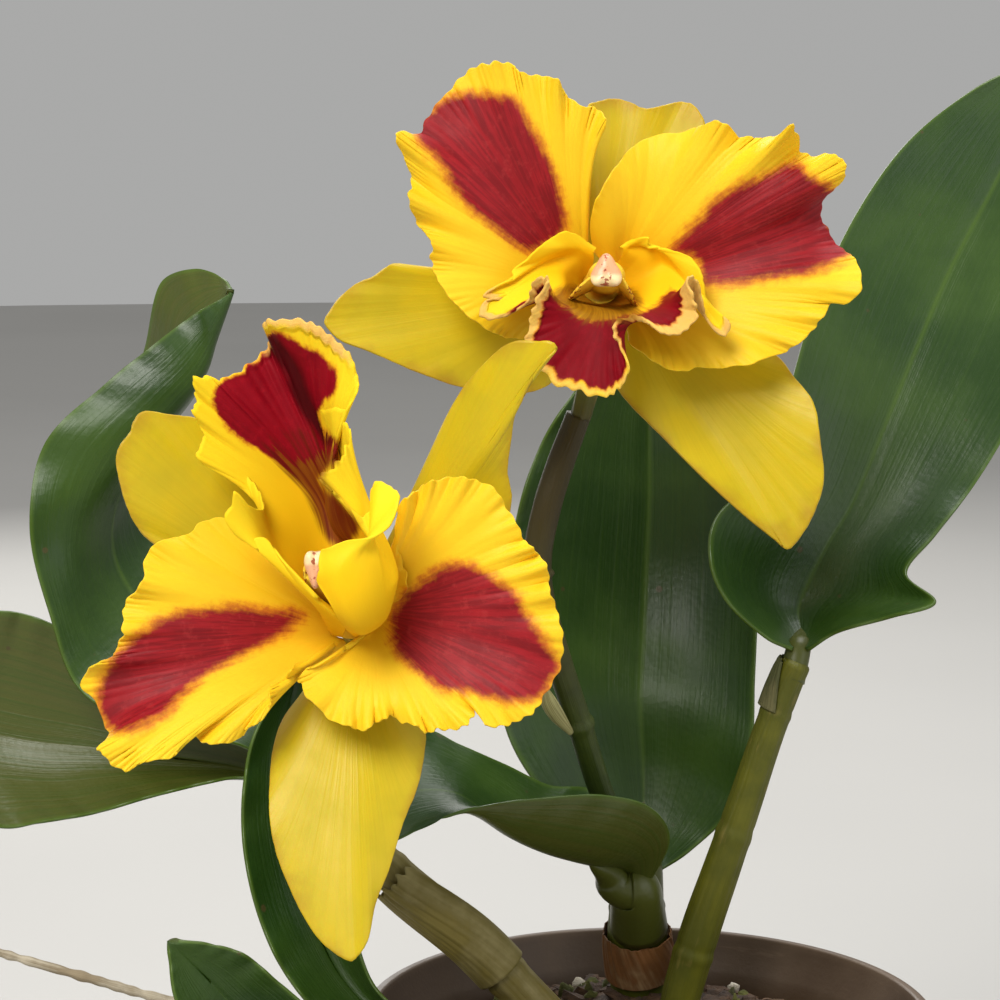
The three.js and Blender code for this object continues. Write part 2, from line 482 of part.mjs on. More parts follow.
/** Petal or sepal surface: rails from the claw to each margin point; frills fade inward. */
function fanGrid(sheet, { claw, margin, bulge }, calm, rows) {
  const quiet = calmed(margin, calm);
  return rows.map((v) => margin.map((edge, i) => {
    const u = i / (margin.length - 1);
    const root = along(claw, u);
    const frill = v ** 3;
    const point = root.map((r, k) => r + (quiet[i][k] * (1 - frill) + edge[k] * frill - r) * v);
    point[2] += bulge * 4 * v * (1 - v) * Math.sqrt(Math.sin(Math.PI * u));
    return place(sheet, point);
  }));
}

/** Lip surface: the rings are read at every margin point and joined smoothly. */
function lipGrid(sheet, { rings }, rows) {
  const margin = rings[rings.length - 1];
  return rows.map((v) => margin.map((_, i) => {
    const u = i / (margin.length - 1);
    return place(sheet, along(rings.map((ring) => along(ring, u)), v));
  }));
}

/** Leaf surface: a parabola through edge, rib and edge at every station. */
function leafGrid(stations, lengthSteps, acrossSteps) {
  return steps(lengthSteps).map((s) => {
    const [left, rib, right] = [0, 1, 2].map((k) => along(stations.map((row) => row[k]), s));
    return steps(acrossSteps).map((x) => {
      const t = 2 * x - 1;
      return place('plant', rib.map((r, k) => (
        left[k] * t * (t - 1) / 2 + r * (1 - t * t) + right[k] * t * (t + 1) / 2)));
    });
  });
}

/** A closed body from triangles, turned so that its faces look outward. */
function bodyFrom(points, faces) {
  const tight = new THREE.BufferGeometry();
  const places = points.flatMap((p) => [p.x, p.y, p.z]);
  tight.setAttribute('position', new THREE.Float32BufferAttribute(places, 3));
  tight.setIndex(faces.flat());
  const merged = mergeVertices(tight, 1e-3);
  const p = merged.attributes.position;
  const index = merged.index.array;
  const kept = [];
  let volume = 0;
  const corner = [0, 1, 2].map(() => new THREE.Vector3());
  for (let i = 0; i < index.length; i += 3) {
    const face = [index[i], index[i + 1], index[i + 2]];
    if (face[0] === face[1] || face[1] === face[2] || face[2] === face[0]) continue;
    kept.push(face);
    face.forEach((f, k) => corner[k].fromBufferAttribute(p, f));
    volume += corner[0].dot(corner[1].clone().cross(corner[2])) / 6;
  }
  merged.setIndex((volume > 0 ? kept : kept.map(([a, b, c]) => [a, c, b])).flat());
  return merged;
}

/** Directions square to a surface given as rows of points. */
function gridNormals(rows) {
  return rows.map((row, j) => row.map((_, i) => {
    const across = row[Math.min(i + 1, row.length - 1)].clone().sub(row[Math.max(i - 1, 0)]);
    const down = rows[Math.min(j + 1, rows.length - 1)][i].clone().sub(rows[Math.max(j - 1, 0)][i]);
    return across.cross(down).normalize();
  }));
}

/** A sheet of even thickness over a surface: two skins and a rim round the outside. */
function sheetBody(rows, thickness) {
  const normals = gridNormals(rows);
  const width = rows[0].length;
  const skin = (side) => rows.flatMap((row, j) => row.map((p, i) => (
    p.clone().addScaledVector(normals[j][i], side * thickness / 2))));
  const points = [...skin(1), ...skin(-1)];
  const back = rows.length * width;
  const at = (j, i) => j * width + i;
  const faces = [];
  for (let j = 0; j < rows.length - 1; j += 1) {
    for (let i = 0; i < width - 1; i += 1) {
      const [a, b, c, d] = [at(j, i), at(j, i + 1), at(j + 1, i + 1), at(j + 1, i)];
      faces.push([a, b, c], [a, c, d], [back + a, back + c, back + b], [back + a, back + d, back + c]);
    }
  }
  const rim = [];
  for (let i = 0; i < width; i += 1) rim.push(at(0, i));
  for (let j = 1; j < rows.length; j += 1) rim.push(at(j, width - 1));
  for (let i = width - 2; i >= 0; i -= 1) rim.push(at(rows.length - 1, i));
  for (let j = rows.length - 2; j > 0; j -= 1) rim.push(at(j, 0));
  rim.forEach((a, k) => {
    const b = rim[(k + 1) % rim.length];
    faces.push([b, a, back + a], [b, back + a, back + b]);
  });
  return bodyFrom(points, faces);
}

/** A round body along a line of room points, with a radius at each. */
function roundBody(points, radii, sides = 8) {
  const rings = [];
  let side = new THREE.Vector3(1, 0, 0);
  points.forEach((point, i) => {
    const ahead = points[Math.min(i + 1, points.length - 1)];
    const behind = points[Math.max(i - 1, 0)];
    const line = ahead.clone().sub(behind).normalize();
    side = side.clone().addScaledVector(line, -side.dot(line)).normalize();
    const other = line.clone().cross(side);
    rings.push(steps(sides).slice(0, -1).map((turn) => point.clone()
      .addScaledVector(side, radii[i] * Math.cos(2 * Math.PI * turn))
      .addScaledVector(other, radii[i] * Math.sin(2 * Math.PI * turn))));
  });
  const all = [...rings.flat(), points[0].clone(), points[points.length - 1].clone()];
  const faces = [];
  const at = (j, i) => j * sides + (i % sides);
  for (let i = 0; i < sides; i += 1) {
    for (let j = 0; j < rings.length - 1; j += 1) {
      faces.push([at(j, i), at(j, i + 1), at(j + 1, i + 1)], [at(j, i), at(j + 1, i + 1), at(j + 1, i)]);
    }
    faces.push([all.length - 2, at(0, i + 1), at(0, i)]);
    faces.push([all.length - 1, at(rings.length - 1, i), at(rings.length - 1, i + 1)]);
  }
  return bodyFrom(all, faces);
}

/** The smooth middle line of a stem, with its radii. */
function stemLine(sheet, { path, radii }, count) {
  return {
    points: steps(count).map((t) => place(sheet, along(path, t))),
    radii: steps(count).map((t) => along(radii.map((r) => [r]), t)[0]),
  };
}

/** A three.js body as a solid for adding and cutting. */
function toManifold(geometry) {
  const { position } = geometry.attributes;
  const points = Array.from({ length: position.count }, (_, i) => (
    new THREE.Vector3().fromBufferAttribute(position, i)));
  const index = geometry.index ? Array.from(geometry.index.array) : points.map((_, i) => i);
  const tight = bodyFrom(points, [index]);
  return new wasm.Manifold(new wasm.Mesh({
    numProp: 3,
    vertProperties: new Float32Array(tight.attributes.position.array),
    triVerts: new Uint32Array(tight.index.array),
  }));
}

/** A solid as a three.js body. */
function fromManifold(solid) {
  const mesh = solid.getMesh();
  const geometry = new THREE.BufferGeometry();
  geometry.setAttribute('position', new THREE.Float32BufferAttribute(mesh.vertProperties, 3));
  geometry.setIndex(Array.from(mesh.triVerts));
  return geometry;
}

/** The largest connected piece of a solid. */
function largest(solid) {
  return solid.decompose().sort((a, b) => b.volume() - a.volume())[0];
}

/** Adds a named body to the plant with its own plain finish. */
function add(name, geometry, colour, roughness) {
  const flat = geometry.index ? geometry : mergeVertices(geometry, 1e-3);
  flat.computeVertexNormals();
  const material = new THREE.MeshStandardMaterial({ color: colour, roughness, metalness: 0 });
  const mesh = new THREE.Mesh(flat, material);
  mesh.name = name;
  plant.add(mesh);
}

// Pot: one turned body with a rim band, and round holes through its floor.
const { rimRadius, height, bandHeight, bodyRadius, footRadius, wall, rimStep, ledge } = POT;
const under = height - bandHeight;
const innerTop = { r: bodyRadius - wall - rimStep / 2, z: under - ledge };
const innerFoot = { r: footRadius - wall + rimStep, z: wall };
const potProfile = [
  [0, 0], [footRadius, 0], [bodyRadius, under], [rimRadius - rimStep, under], [rimRadius, under + 1],
  [rimRadius, height - 1], [rimRadius - rimStep, height], [rimRadius - wall, height],
  [bodyRadius - wall + rimStep, under + wall], [innerTop.r, innerTop.z], [innerFoot.r, wall], [0, wall],
].map(([r, z]) => new THREE.Vector2(r, z));
const turned = new THREE.LatheGeometry(potProfile, POT.sides);
turned.rotateX(Math.PI / 2);
let pot = toManifold(turned);
for (let i = 0; i < POT.holes; i += 1) {
  const angle = (i + 0.5) * 2 * Math.PI / POT.holes;
  const centre = new THREE.Vector3(Math.cos(angle), Math.sin(angle), 0).multiplyScalar(POT.holeCircle);
  const drill = [-1, wall + 1].map((z) => centre.clone().setZ(z));
  pot = pot.subtract(toManifold(roundBody(drill, [POT.holeRadius, POT.holeRadius], 10)));
}
add('pot', fromManifold(largest(pot)), COLOURS.pot, ROUGHNESS.pot);

// Canes stand in sockets of the bark.
const canes = ['cane_right', 'cane_middle', 'cane_left', 'cane_front'].map((name) => {
  const line = stemLine('plant', STEMS[name], STEPS.cane);
  const colour = name === 'cane_left' ? COLOURS.oldCane : COLOURS.cane;
  add(name, roundBody(line.points, line.radii), colour, ROUGHNESS.cane);
  return line;
});

// The loose root leaves the bark, rests over the rim and hangs out to the left.
const root = stemLine('plant', STEMS.root_loose, STEPS.root);
add('root_loose', roundBody(root.points, root.radii, 6), COLOURS.root, ROUGHNESS.root);

// Papery sheaths: the dry leaf bases that wrap part of a cane.
canes.slice(0, 3).forEach((line, k) => {
  const { from, to, start, sweep } = SHEATHS[k];
  const reachOut = FIT + THICK.sheath / 2 + SHEATH_LIFT;
  const rows = steps(4).map((share) => {
    const t = from + (to - from) * share;
    const at = (s) => new THREE.Vector3(...along(line.points.map((p) => p.toArray()), s));
    const radius = along(line.radii.map((r) => [r]), t)[0] + reachOut + SHEATH_FLARE * share;
    const axis = at(Math.min(1, t + 0.02)).sub(at(Math.max(0, t - 0.02))).normalize();
    const front = new THREE.Vector3(0, -1, 0);
    front.addScaledVector(axis, -front.dot(axis)).normalize();
    const side = axis.clone().cross(front);
    return steps(10).map((turn) => {
      const angle = THREE.MathUtils.degToRad(start + (sweep - SHEATH_OPENS * share) * turn);
      return at(t).addScaledVector(front, radius * Math.cos(angle))
        .addScaledVector(side, radius * Math.sin(angle));
    });
  });
  add(`sheath_${['right', 'middle', 'left'][k]}`, sheetBody(rows, THICK.sheath), COLOURS.sheath, ROUGHNESS.paper);
});

// Bark: a heaped body that fills the pot, with loose chips and moss lumps fused into its top.
const innerRadiusAt = (z) => {
  const share = (z - innerFoot.z) / (innerTop.z - innerFoot.z);
  return THREE.MathUtils.lerp(innerFoot.r, innerTop.r, share) - BARK.clearance - rimStep / 2;
};
const draw = seededDraw(BARK.seed);
const heapCentre = new THREE.Vector2(BARK.heapAcross, BARK.heapBack);
const barkTop = (x, y) => {
  const reach = Math.hypot(x - heapCentre.x, y - heapCentre.y) / BARK.heapReach;
  return BARK.wallLevel + BARK.heap * Math.exp(-reach * reach);
};
const barkPoints = [];
const barkFaces = [];
const wallRadius = innerRadiusAt(BARK.wallLevel);
steps(BARK.rings).slice(1).forEach((share) => {
  steps(BARK.sectors).slice(0, -1).forEach((turn) => {
    const r = wallRadius * share;
    const [x, y] = [r * Math.cos(2 * Math.PI * turn), r * Math.sin(2 * Math.PI * turn)];
    const rough = share < 1 ? BARK.rough * (draw() - 0.5) : 0;
    barkPoints.push(new THREE.Vector3(x, y, barkTop(x, y) + rough));
  });
});
const floorLevel = wall + BARK.clearance;
const floorRadius = innerRadiusAt(floorLevel);
steps(BARK.sectors).slice(0, -1).forEach((turn) => {
  const angle = 2 * Math.PI * turn;
  barkPoints.push(new THREE.Vector3(floorRadius * Math.cos(angle), floorRadius * Math.sin(angle), floorLevel));
});
const barkMiddle = barkPoints.push(new THREE.Vector3(0, 0, barkTop(0, 0))) - 1;
const barkUnder = barkPoints.push(new THREE.Vector3(0, 0, floorLevel)) - 1;
for (let i = 0; i < BARK.sectors; i += 1) {
  const next = (i + 1) % BARK.sectors;
  barkFaces.push([barkMiddle, i, next]);
  for (let j = 0; j < BARK.rings; j += 1) {
    const [a, b] = [j * BARK.sectors + i, j * BARK.sectors + next];
    barkFaces.push([a, a + BARK.sectors, b + BARK.sectors], [a, b + BARK.sectors, b]);
  }
  const foot = BARK.rings * BARK.sectors;
  barkFaces.push([barkUnder, foot + next, foot + i]);
}
let bark = toManifold(bodyFrom(barkPoints, barkFaces));
for (let i = 0; i < BARK.chips; i += 1) {
  const angle = 2 * Math.PI * draw();
  const r = BARK.chipsReach * Math.sqrt(draw());
  const [x, y] = [r * Math.cos(angle), r * Math.sin(angle)];
  const chip = new THREE.BoxGeometry(...CHIP.least.map((side, k) => side + CHIP.more[k] * draw()));
  chip.rotateX(BARK.chipTilt * (2 * draw() - 1));
  chip.rotateY(BARK.chipTilt * (2 * draw() - 1));
  chip.rotateZ(Math.PI * draw());
  chip.translate(x, y, barkTop(x, y) + BARK.chipLift);
  bark = bark.add(toManifold(chip));
}
[...canes, root].forEach(({ points, radii }) => {
  const below = points[0].clone().sub(points[1]).setLength(FIT).add(points[0]);
  const socket = roundBody([below, ...points.slice(1)], radii.map((r) => r + FIT));
  bark = bark.subtract(toManifold(socket));
});
add('bark', fromManifold(largest(bark)), COLOURS.bark, ROUGHNESS.bark);

// Leaves.
Object.entries(LEAVES).forEach(([name, stations]) => {
  const surface = leafGrid(stations, stations.length - 1, 4);
  const colour = name === 'leaf_right' || name === 'leaf_strap' ? COLOURS.leaf : COLOURS.leafDark;
  const bract = name === 'bract';
  if (bract) add(name, sheetBody(surface, THICK.sheath), COLOURS.sheath, ROUGHNESS.paper);
  else add(name, sheetBody(surface, THICK.leaf), colour, ROUGHNESS.leaf);
});

// Stem and ovaries.
const stem = stemLine('plant', STEMS.flower_stem, STEPS.stem);
add('flower_stem', roundBody(stem.points, stem.radii), COLOURS.stem, ROUGHNESS.stem);
['upper', 'lower'].forEach((bloom) => {
  const line = stemLine('plant', STEMS[`ovary_${bloom}`], STEPS.ovary);
  add(`ovary_${bloom}`, roundBody(line.points, line.radii), COLOURS.ovary, ROUGHNESS.stem);
});

// Blooms.
const PETAL_ROWS = [0, 0.34, 0.66, 0.87, 1];
const SEPAL_ROWS = [0, 0.34, 0.7, 1];
const LIP_ROWS = [0, 0.2, 0.42, 0.62, 0.82, 1];
Object.entries({ upper: UPPER, lower: LOWER }).forEach(([sheet, bloom]) => {
  ['sepal_dorsal', 'sepal_left', 'sepal_right'].forEach((name) => {
    add(`${sheet}_${name}`, sheetBody(fanGrid(sheet, bloom[name], 1, SEPAL_ROWS), THICK.sepal),
      COLOURS.sepal, ROUGHNESS.bloom);
  });
  ['petal_left', 'petal_right'].forEach((name) => {
    add(`${sheet}_${name}`, sheetBody(fanGrid(sheet, bloom[name], 1.5, PETAL_ROWS), THICK.petal),
      COLOURS.petal, ROUGHNESS.bloom);
  });
  add(`${sheet}_lip`, sheetBody(lipGrid(sheet, bloom.lip, LIP_ROWS), THICK.lip), COLOURS.lip, ROUGHNESS.bloom);
  const column = stemLine(sheet, bloom.column, STEPS.column);
  add(`${sheet}_column`, roundBody(column.points, column.radii), COLOURS.column, ROUGHNESS.bloom);
  const anther = stemLine(sheet, bloom.anther, STEPS.anther);
  add(`${sheet}_anther`, roundBody(anther.points, anther.radii), COLOURS.anther, ROUGHNESS.bloom);
});

export default plant;
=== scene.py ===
"""Looks of a potted rhyncattleanthe orchid.

Two yellow splash-petalled blooms with red lips stand over leathery leaves, leaning
canes and a plain brown pot of bark. Every piece is a surface worked out on a grid,
laid over the solids of the frame.
"""

import logging
import math
from dataclasses import dataclass, field
from enum import Enum

import bpy
import numpy as np
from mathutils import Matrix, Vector


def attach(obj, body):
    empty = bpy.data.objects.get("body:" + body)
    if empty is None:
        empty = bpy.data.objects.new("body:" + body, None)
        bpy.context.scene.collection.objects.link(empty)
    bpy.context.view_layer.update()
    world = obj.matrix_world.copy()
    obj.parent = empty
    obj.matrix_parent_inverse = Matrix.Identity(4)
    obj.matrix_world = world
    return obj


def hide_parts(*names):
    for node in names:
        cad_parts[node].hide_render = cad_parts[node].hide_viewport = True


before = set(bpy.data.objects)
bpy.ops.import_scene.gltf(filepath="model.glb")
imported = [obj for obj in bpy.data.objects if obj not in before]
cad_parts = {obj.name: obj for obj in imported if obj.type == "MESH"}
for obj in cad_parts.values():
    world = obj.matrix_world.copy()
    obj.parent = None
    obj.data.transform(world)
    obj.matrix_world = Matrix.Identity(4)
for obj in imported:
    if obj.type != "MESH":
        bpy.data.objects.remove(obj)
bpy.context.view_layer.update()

log = logging.getLogger("orchid")

Array = np.ndarray
Material = bpy.types.Material
Socket = bpy.types.NodeSocket
Colour = tuple[float, float, float]
Point = tuple[float, float, float]
Flat = tuple[float, float]
Value = Socket | float | Colour

MM = 0.001
BODY = "root"

EYE = np.array([-26.0, -480.0, 243.5])
PITCH = math.radians(8.0)
SIGHT = np.array([0.0, math.cos(PITCH), -math.sin(PITCH)])
UP = np.array([0.0, math.sin(PITCH), math.cos(PITCH)])
ACROSS = np.array([1.0, 0.0, 0.0])
LENS = 102.0
SENSOR = 36.0


@dataclass(frozen=True)
class Sheet:
    """A flat sheet square to the sight line, on which a bloom or the plant is laid out.

    A point on it is across, up and out, in mm; out is nearer to the eye.
    """

    distance: float
    across: float
    up: float

    def place(self, points: Array) -> Array:
        """Where sheet points lie in the room, in metres.

        room = eye + (distance * sight + (a0 + across) * ACROSS + (u0 + up) * UP) * (1 - out / distance).

        Args:
            points: Any array whose last axis is across, up and out, in mm.

        Returns:
            An array of the same shape, in metres.
        """
        flat = (
            self.distance * SIGHT
            + (self.across + points[..., 0:1]) * ACROSS
            + (self.up + points[..., 1:2]) * UP
        )
        return (EYE + flat * (1.0 - points[..., 2:3] / self.distance)) * MM


PLANT = Sheet(distance=485.0, across=0.0, up=0.0)
UPPER = Sheet(distance=437.0, across=15.4, up=32.4)
LOWER = Sheet(distance=405.0, across=-21.4, up=-14.3)


def smooth_line(points: Array, t: Array) -> Array:
    """Points of a smooth line through control points that are evenly spaced in t.

    Between p1 and p2 with share f it is the cubic whose slopes are half of p2 - p0 and
    half of p3 - p1, with the end slopes carried straight on.

    Args:
        points: Control points, one a row.
        t: Places along the line, 0 to 1.

    Returns:
        One row for each t.
    """
    p = np.asarray(points, float)
    x = np.clip(t, 0.0, 1.0) * (len(p) - 1)
    i = np.minimum(x.astype(int), len(p) - 2)
    f = (x - i)[:, None]
    b, c = p[i], p[i + 1]
    a = np.where((i == 0)[:, None], 2 * b - c, p[np.maximum(i - 1, 0)])
    d = np.where((i == len(p) - 2)[:, None], 2 * c - b, p[np.minimum(i + 2, len(p) - 1)])
    return 0.5 * (
        2 * b + (c - a) * f + (2 * a - 5 * b + 4 * c - d) * f**2 + (3 * b - a - 3 * c + d) * f**3
    )


def steps(count: int) -> Array:
    """Even steps from 0 to 1."""
    return np.linspace(0, 1, count)


def turns(count: int) -> Array:
    """Even steps round a full turn, in radians."""
    return np.arange(count) * 2 * math.pi / count


def calmed(margin: Array, reach: float) -> Array:
    """A margin without its frills: each point averaged with its neighbours.

    A neighbour k points off weighs exp(-(k / reach)^2 / 2); near an end the average gives
    way to the point itself.

    Args:
        margin: Margin points, one a row.
        reach: Width of the average, in points.

    Returns:
        The calmed margin, of the same shape.
    """
    k = np.arange(len(margin))
    weight = np.exp(-0.5 * ((k[:, None] - k[None]) / reach) ** 2)
    mean = (weight @ margin) / weight.sum(1, keepdims=True)
    share = np.minimum(1.0, np.minimum(k, len(margin) - 1 - k) / (2 * reach))[:, None]
    return margin * (1 - share) + mean * share


def hum(t: Array, beats: int, seed: int) -> Array:
    """An uneven wave between about -1 and 1: a sum of sines with drawn phases.

    hum = sum over k of sin(2 pi * beats * r_k * t + phase_k) / 2, r_k from 0.6 to 1.6.

    Args:
        t: Places, 0 to 1.
        beats: Waves in the whole length.
        seed: Seed of the draw.

    Returns:
        The wave at each t.
    """
    draw = np.random.default_rng(seed)
    rates = draw.uniform(0.6, 1.6, 4)[:, None]
    phases = draw.uniform(0, 2 * math.pi, 4)[:, None]
    return np.sin(2 * math.pi * beats * rates * t.ravel() + phases).sum(0).reshape(t.shape) / 2


def soft_step(x: Array, low: float, high: float) -> Array:
    """0 below low, 1 above high, and 3 s^2 - 2 s^3 of the share s between them."""
    s = np.clip((x - low) / (high - low), 0.0, 1.0)
    return s * s * (3 - 2 * s)


def unit(vectors: Array) -> Array:
    """Vectors scaled to a length of 1; those of no length stay as they are."""
    return vectors / np.maximum(np.linalg.norm(vectors, axis=-1, keepdims=True), 1e-12)


def signed_power(value: Array, power: float) -> Array:
    """The power of each value's size, with the value's own sign."""
    return np.sign(value) * np.abs(value) ** power


def depth_inside(points: Array, outline: Array) -> Array:
    """Signed distance of flat points to an outline, positive inside.

    The distance is the least to any side; the sign comes from how many sides a ray crosses.

    Args:
        points: Flat points, last axis of 2.
        outline: Corners of the closed outline.

    Returns:
        Distances, in the points' own unit.
    """
    p = points[..., None, :]
    a, b = outline, np.roll(outline, -1, axis=0)
    side = b - a
    share = np.clip(((p - a) * side).sum(-1) / (side**2).sum(-1), 0, 1)
    gap = np.linalg.norm(p - a - share[..., None] * side, axis=-1).min(-1)
    crosses = (a[:, 1] > p[..., 1]) != (b[:, 1] > p[..., 1])
    rise = np.where(side[:, 1] == 0, 1e-9, side[:, 1])
    at = a[:, 0] + (p[..., 1] - a[:, 1]) * side[:, 0] / rise
    inside = (crosses & (p[..., 0] < at)).sum(-1) % 2 == 1
    return np.where(inside, gap, -gap)


def smooth_loop(corners: Array, count: int) -> Array:
    """A closed outline drawn smoothly through its corners.

    Args:
        corners: Corners of the outline.
        count: Number of points.

    Returns:
        Points of the smooth outline.
    """
    p = np.asarray(corners, float)
    ring = np.concatenate([p[-3:], p, p[:4]])
    t = (3 + np.arange(count) * len(p) / count) / (len(ring) - 1)
    return smooth_line(ring, t)


def grid_normals(grid: Array) -> Array:
    """Unit vectors square to a grid surface: the cross product of its two slopes."""
    return unit(np.cross(np.gradient(grid, axis=1), np.gradient(grid, axis=0)))


@dataclass
class Block:
    """Points, faces and per-point layers of one closed mesh."""

    points: Array
    faces: list[Array]
    layers: dict[str, Array] = field(default_factory=dict)

    def joined(self, other: "Block") -> "Block":
        """This block and another as one mesh.

        Args:
            other: A block with the same layers.

        Returns:
            The joined block.
        """
        start = len(self.points)
        return Block(
            np.concatenate([self.points, other.points]),
            self.faces + [f + start for f in other.faces],
            {k: np.concatenate([v, other.layers[k]]) for k, v in self.layers.items()},
        )

    def outward(self) -> "Block":
        """The same block with its faces turned out: the sum of a . (b x c) is over zero.

        Returns:
            The block.
        """
        volume = 0.0
        for faces in self.faces:
            corner = [self.points[faces[:, k]] for k in range(faces.shape[1])]
            for k in range(1, faces.shape[1] - 1):
                volume += (corner[0] * np.cross(corner[k], corner[k + 1])).sum()
        turned = self.faces if volume > 0 else [f[:, ::-1] for f in self.faces]
        return Block(self.points, turned, self.layers)


def sheet_block(grid: Array, thickness: Array, layers: dict[str, Array]) -> Block:
    """A closed sheet: two skins, each grid point +- normal * thickness / 2, and a rim.

    Args:
        grid: Surface points, rows by columns by 3, in metres.
        thickness: Thickness at each grid point, in metres.
        layers: Values at each grid point, by name.

    Returns:
        The block, with a layer "face": 1 on the first skin, 0 on the other.
    """
    rows, cols = grid.shape[:2]
    shift = grid_normals(grid) * (np.broadcast_to(thickness, (rows, cols))[..., None] / 2)
    points = np.concatenate([(grid + shift).reshape(-1, 3), (grid - shift).reshape(-1, 3)])
    index = np.arange(rows * cols).reshape(rows, cols)
    quads = np.stack([index[:-1, :-1], index[:-1, 1:], index[1:, 1:], index[1:, :-1]], -1).reshape(-1, 4)
    ring = np.concatenate([index[0, :-1], index[:-1, -1], index[-1, :0:-1], index[:0:-1, 0]])
    after = np.roll(ring, -1)
    back = rows * cols
    rim = np.stack([after, ring, ring + back, after + back], -1)
    values = {k: np.tile(np.broadcast_to(v, (rows, cols)).ravel(), 2) for k, v in layers.items()}
    values["face"] = np.repeat([1.0, 0.0], back)
    return Block(points, [quads, quads[:, ::-1] + back, rim], values).outward()


def path_frames(line: Array) -> tuple[Array, Array]:
    """Two directions square to a line at each point, with no twist.

    The first is the part of a fixed direction square to the line, the second their cross
    product.

    Args:
        line: Points of the line.

    Returns:
        The two arrays of unit vectors.
    """
    run = unit(np.gradient(line, axis=0))
    fixed = np.array([0.9, -0.35, 0.05]) if abs(run[:, 0]).mean() < 0.8 else np.array([0.0, -0.5, 0.85])
    side = unit(fixed - (run @ fixed)[:, None] * run)
    return side, np.cross(run, side)


def ring_faces(count: int, sides: int) -> list[Array]:
    """Faces of a body of rings with two end points.

    Args:
        count: Number of rings.
        sides: Points in a ring.

    Returns:
        Faces between the rings, and triangles at both ends.
    """
    index = np.arange(count * sides).reshape(count, sides)
    after = np.roll(index, -1, axis=1)
    first, last = (np.full(sides, count * sides + k) for k in (0, 1))
    caps = [np.stack([first, after[0], index[0]], -1), np.stack([last, index[-1], after[-1]], -1)]
    quads = np.stack([index[:-1], after[:-1], after[1:], index[1:]], -1)
    return [quads.reshape(-1, 4), np.concatenate(caps)]


def ring_block(rings: Array, start: Array, end: Array, layers: dict[str, Array]) -> Block:
    """A closed body from rings of points.

    Args:
        rings: Points, rings by sides by 3, in metres.
        start: Middle point of the first end.
        end: Middle point of the last end.
        layers: Values at each ring point, by name.

    Returns:
        The block.
    """
    count, sides = rings.shape[:2]
    values = {k: np.broadcast_to(v, (count, sides)).ravel() for k, v in layers.items()}
    values = {k: np.concatenate([v, [v[0], v[-1]]]) for k, v in values.items()}
    points = np.concatenate([rings.reshape(-1, 3), [start, end]])
    return Block(points, ring_faces(count, sides), values).outward()


def tube_block(line: Array, radius: Array) -> Block:
    """A closed round body along a line.

    ring point = line point + radius * (cos a * side + sin a * other), a from 0 to 2 pi.

    Args:
        line: Points along the middle, in metres.
        radius: Radius at each point and angle, points by angles, in metres.

    Returns:
        The block, with layers "along" (metres from the start) and "turn" (0 to 1).
    """
    count, sides = radius.shape
    angle = turns(sides)
    side, other = path_frames(line)
    ring = np.cos(angle)[None, :, None] * side[:, None] + np.sin(angle)[None, :, None] * other[:, None]
    step = np.linalg.norm(np.diff(line, axis=0), axis=1)
    values = {
        "along": np.concatenate([[0.0], np.cumsum(step)])[:, None],
        "turn": np.abs(2 * np.arange(sides) / sides - 1)[None],
    }
    return ring_block(line[:, None] + radius[..., None] * ring, line[0], line[-1], values)


def lathe_block(profile: Array, sides: int) -> Block:
    """A closed body turned round the upright axis.

    point = (r cos a, r sin a, z) for each corner (r, z), first and last on the axis.

    Args:
        profile: Radius and height of each corner, in metres.
        sides: Steps in a turn.

    Returns:
        The block.
    """
    angle = turns(sides)
    r, z = profile[1:-1, :1], profile[1:-1, 1:]
    rings = np.stack([r * np.cos(angle), r * np.sin(angle), np.broadcast_to(z, (len(r), sides))], -1)
    ends = np.array([[0, 0, profile[0, 1]], [0, 0, profile[-1, 1]]])
    return ring_block(rings, ends[0], ends[1], {})


def put_in_scene(name: str, data: bpy.types.ID) -> bpy.types.Object:
    """Makes an object of some data and puts it in the scene.

    Args:
        name: Its name.
        data: A mesh, light or camera.

    Returns:
        The object.
    """
    made = bpy.data.objects.new(name, data)
    bpy.context.scene.collection.objects.link(made)
    return made


def make_piece(
    name: str,
    block: Block,
    material: Material,
    nodes: tuple[str, ...] = (),
    smooth: bool = True,
) -> bpy.types.Object:
    """Turns a block into a piece on the plant's body.

    Args:
        name: Name of the piece.
        block: Its mesh.
        material: Its finish.
        nodes: CAD nodes that it stands for.
        smooth: True for a smooth skin.

    Returns:
        The new object.
    """
    mesh = bpy.data.meshes.new(name)
    mesh.vertices.add(len(block.points))
    mesh.vertices.foreach_set("co", block.points.astype(np.float32).ravel())
    corners = np.concatenate([f.ravel() for f in block.faces])
    sizes = np.concatenate([np.full(len(f), f.shape[1]) for f in block.faces])
    mesh.loops.add(len(corners))
    mesh.loops.foreach_set("vertex_index", corners.astype(np.int32))
    mesh.polygons.add(len(sizes))
    mesh.polygons.foreach_set("loop_start", np.concatenate([[0], np.cumsum(sizes)[:-1]]).astype(np.int32))
    mesh.polygons.foreach_set("use_smooth", np.full(len(sizes), smooth))
    mesh.update(calc_edges=True)
    for layer, values in block.layers.items():
        mesh.attributes.new(layer, "FLOAT", "POINT").data.foreach_set("value", values.astype(np.float32))
    mesh.validate()
    mesh.materials.append(material)
    piece = put_in_scene(name, mesh)
    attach(piece, BODY)
    if nodes:
        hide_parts(*nodes)
    log.info("%s: %d points", name, len(block.points))
    return piece


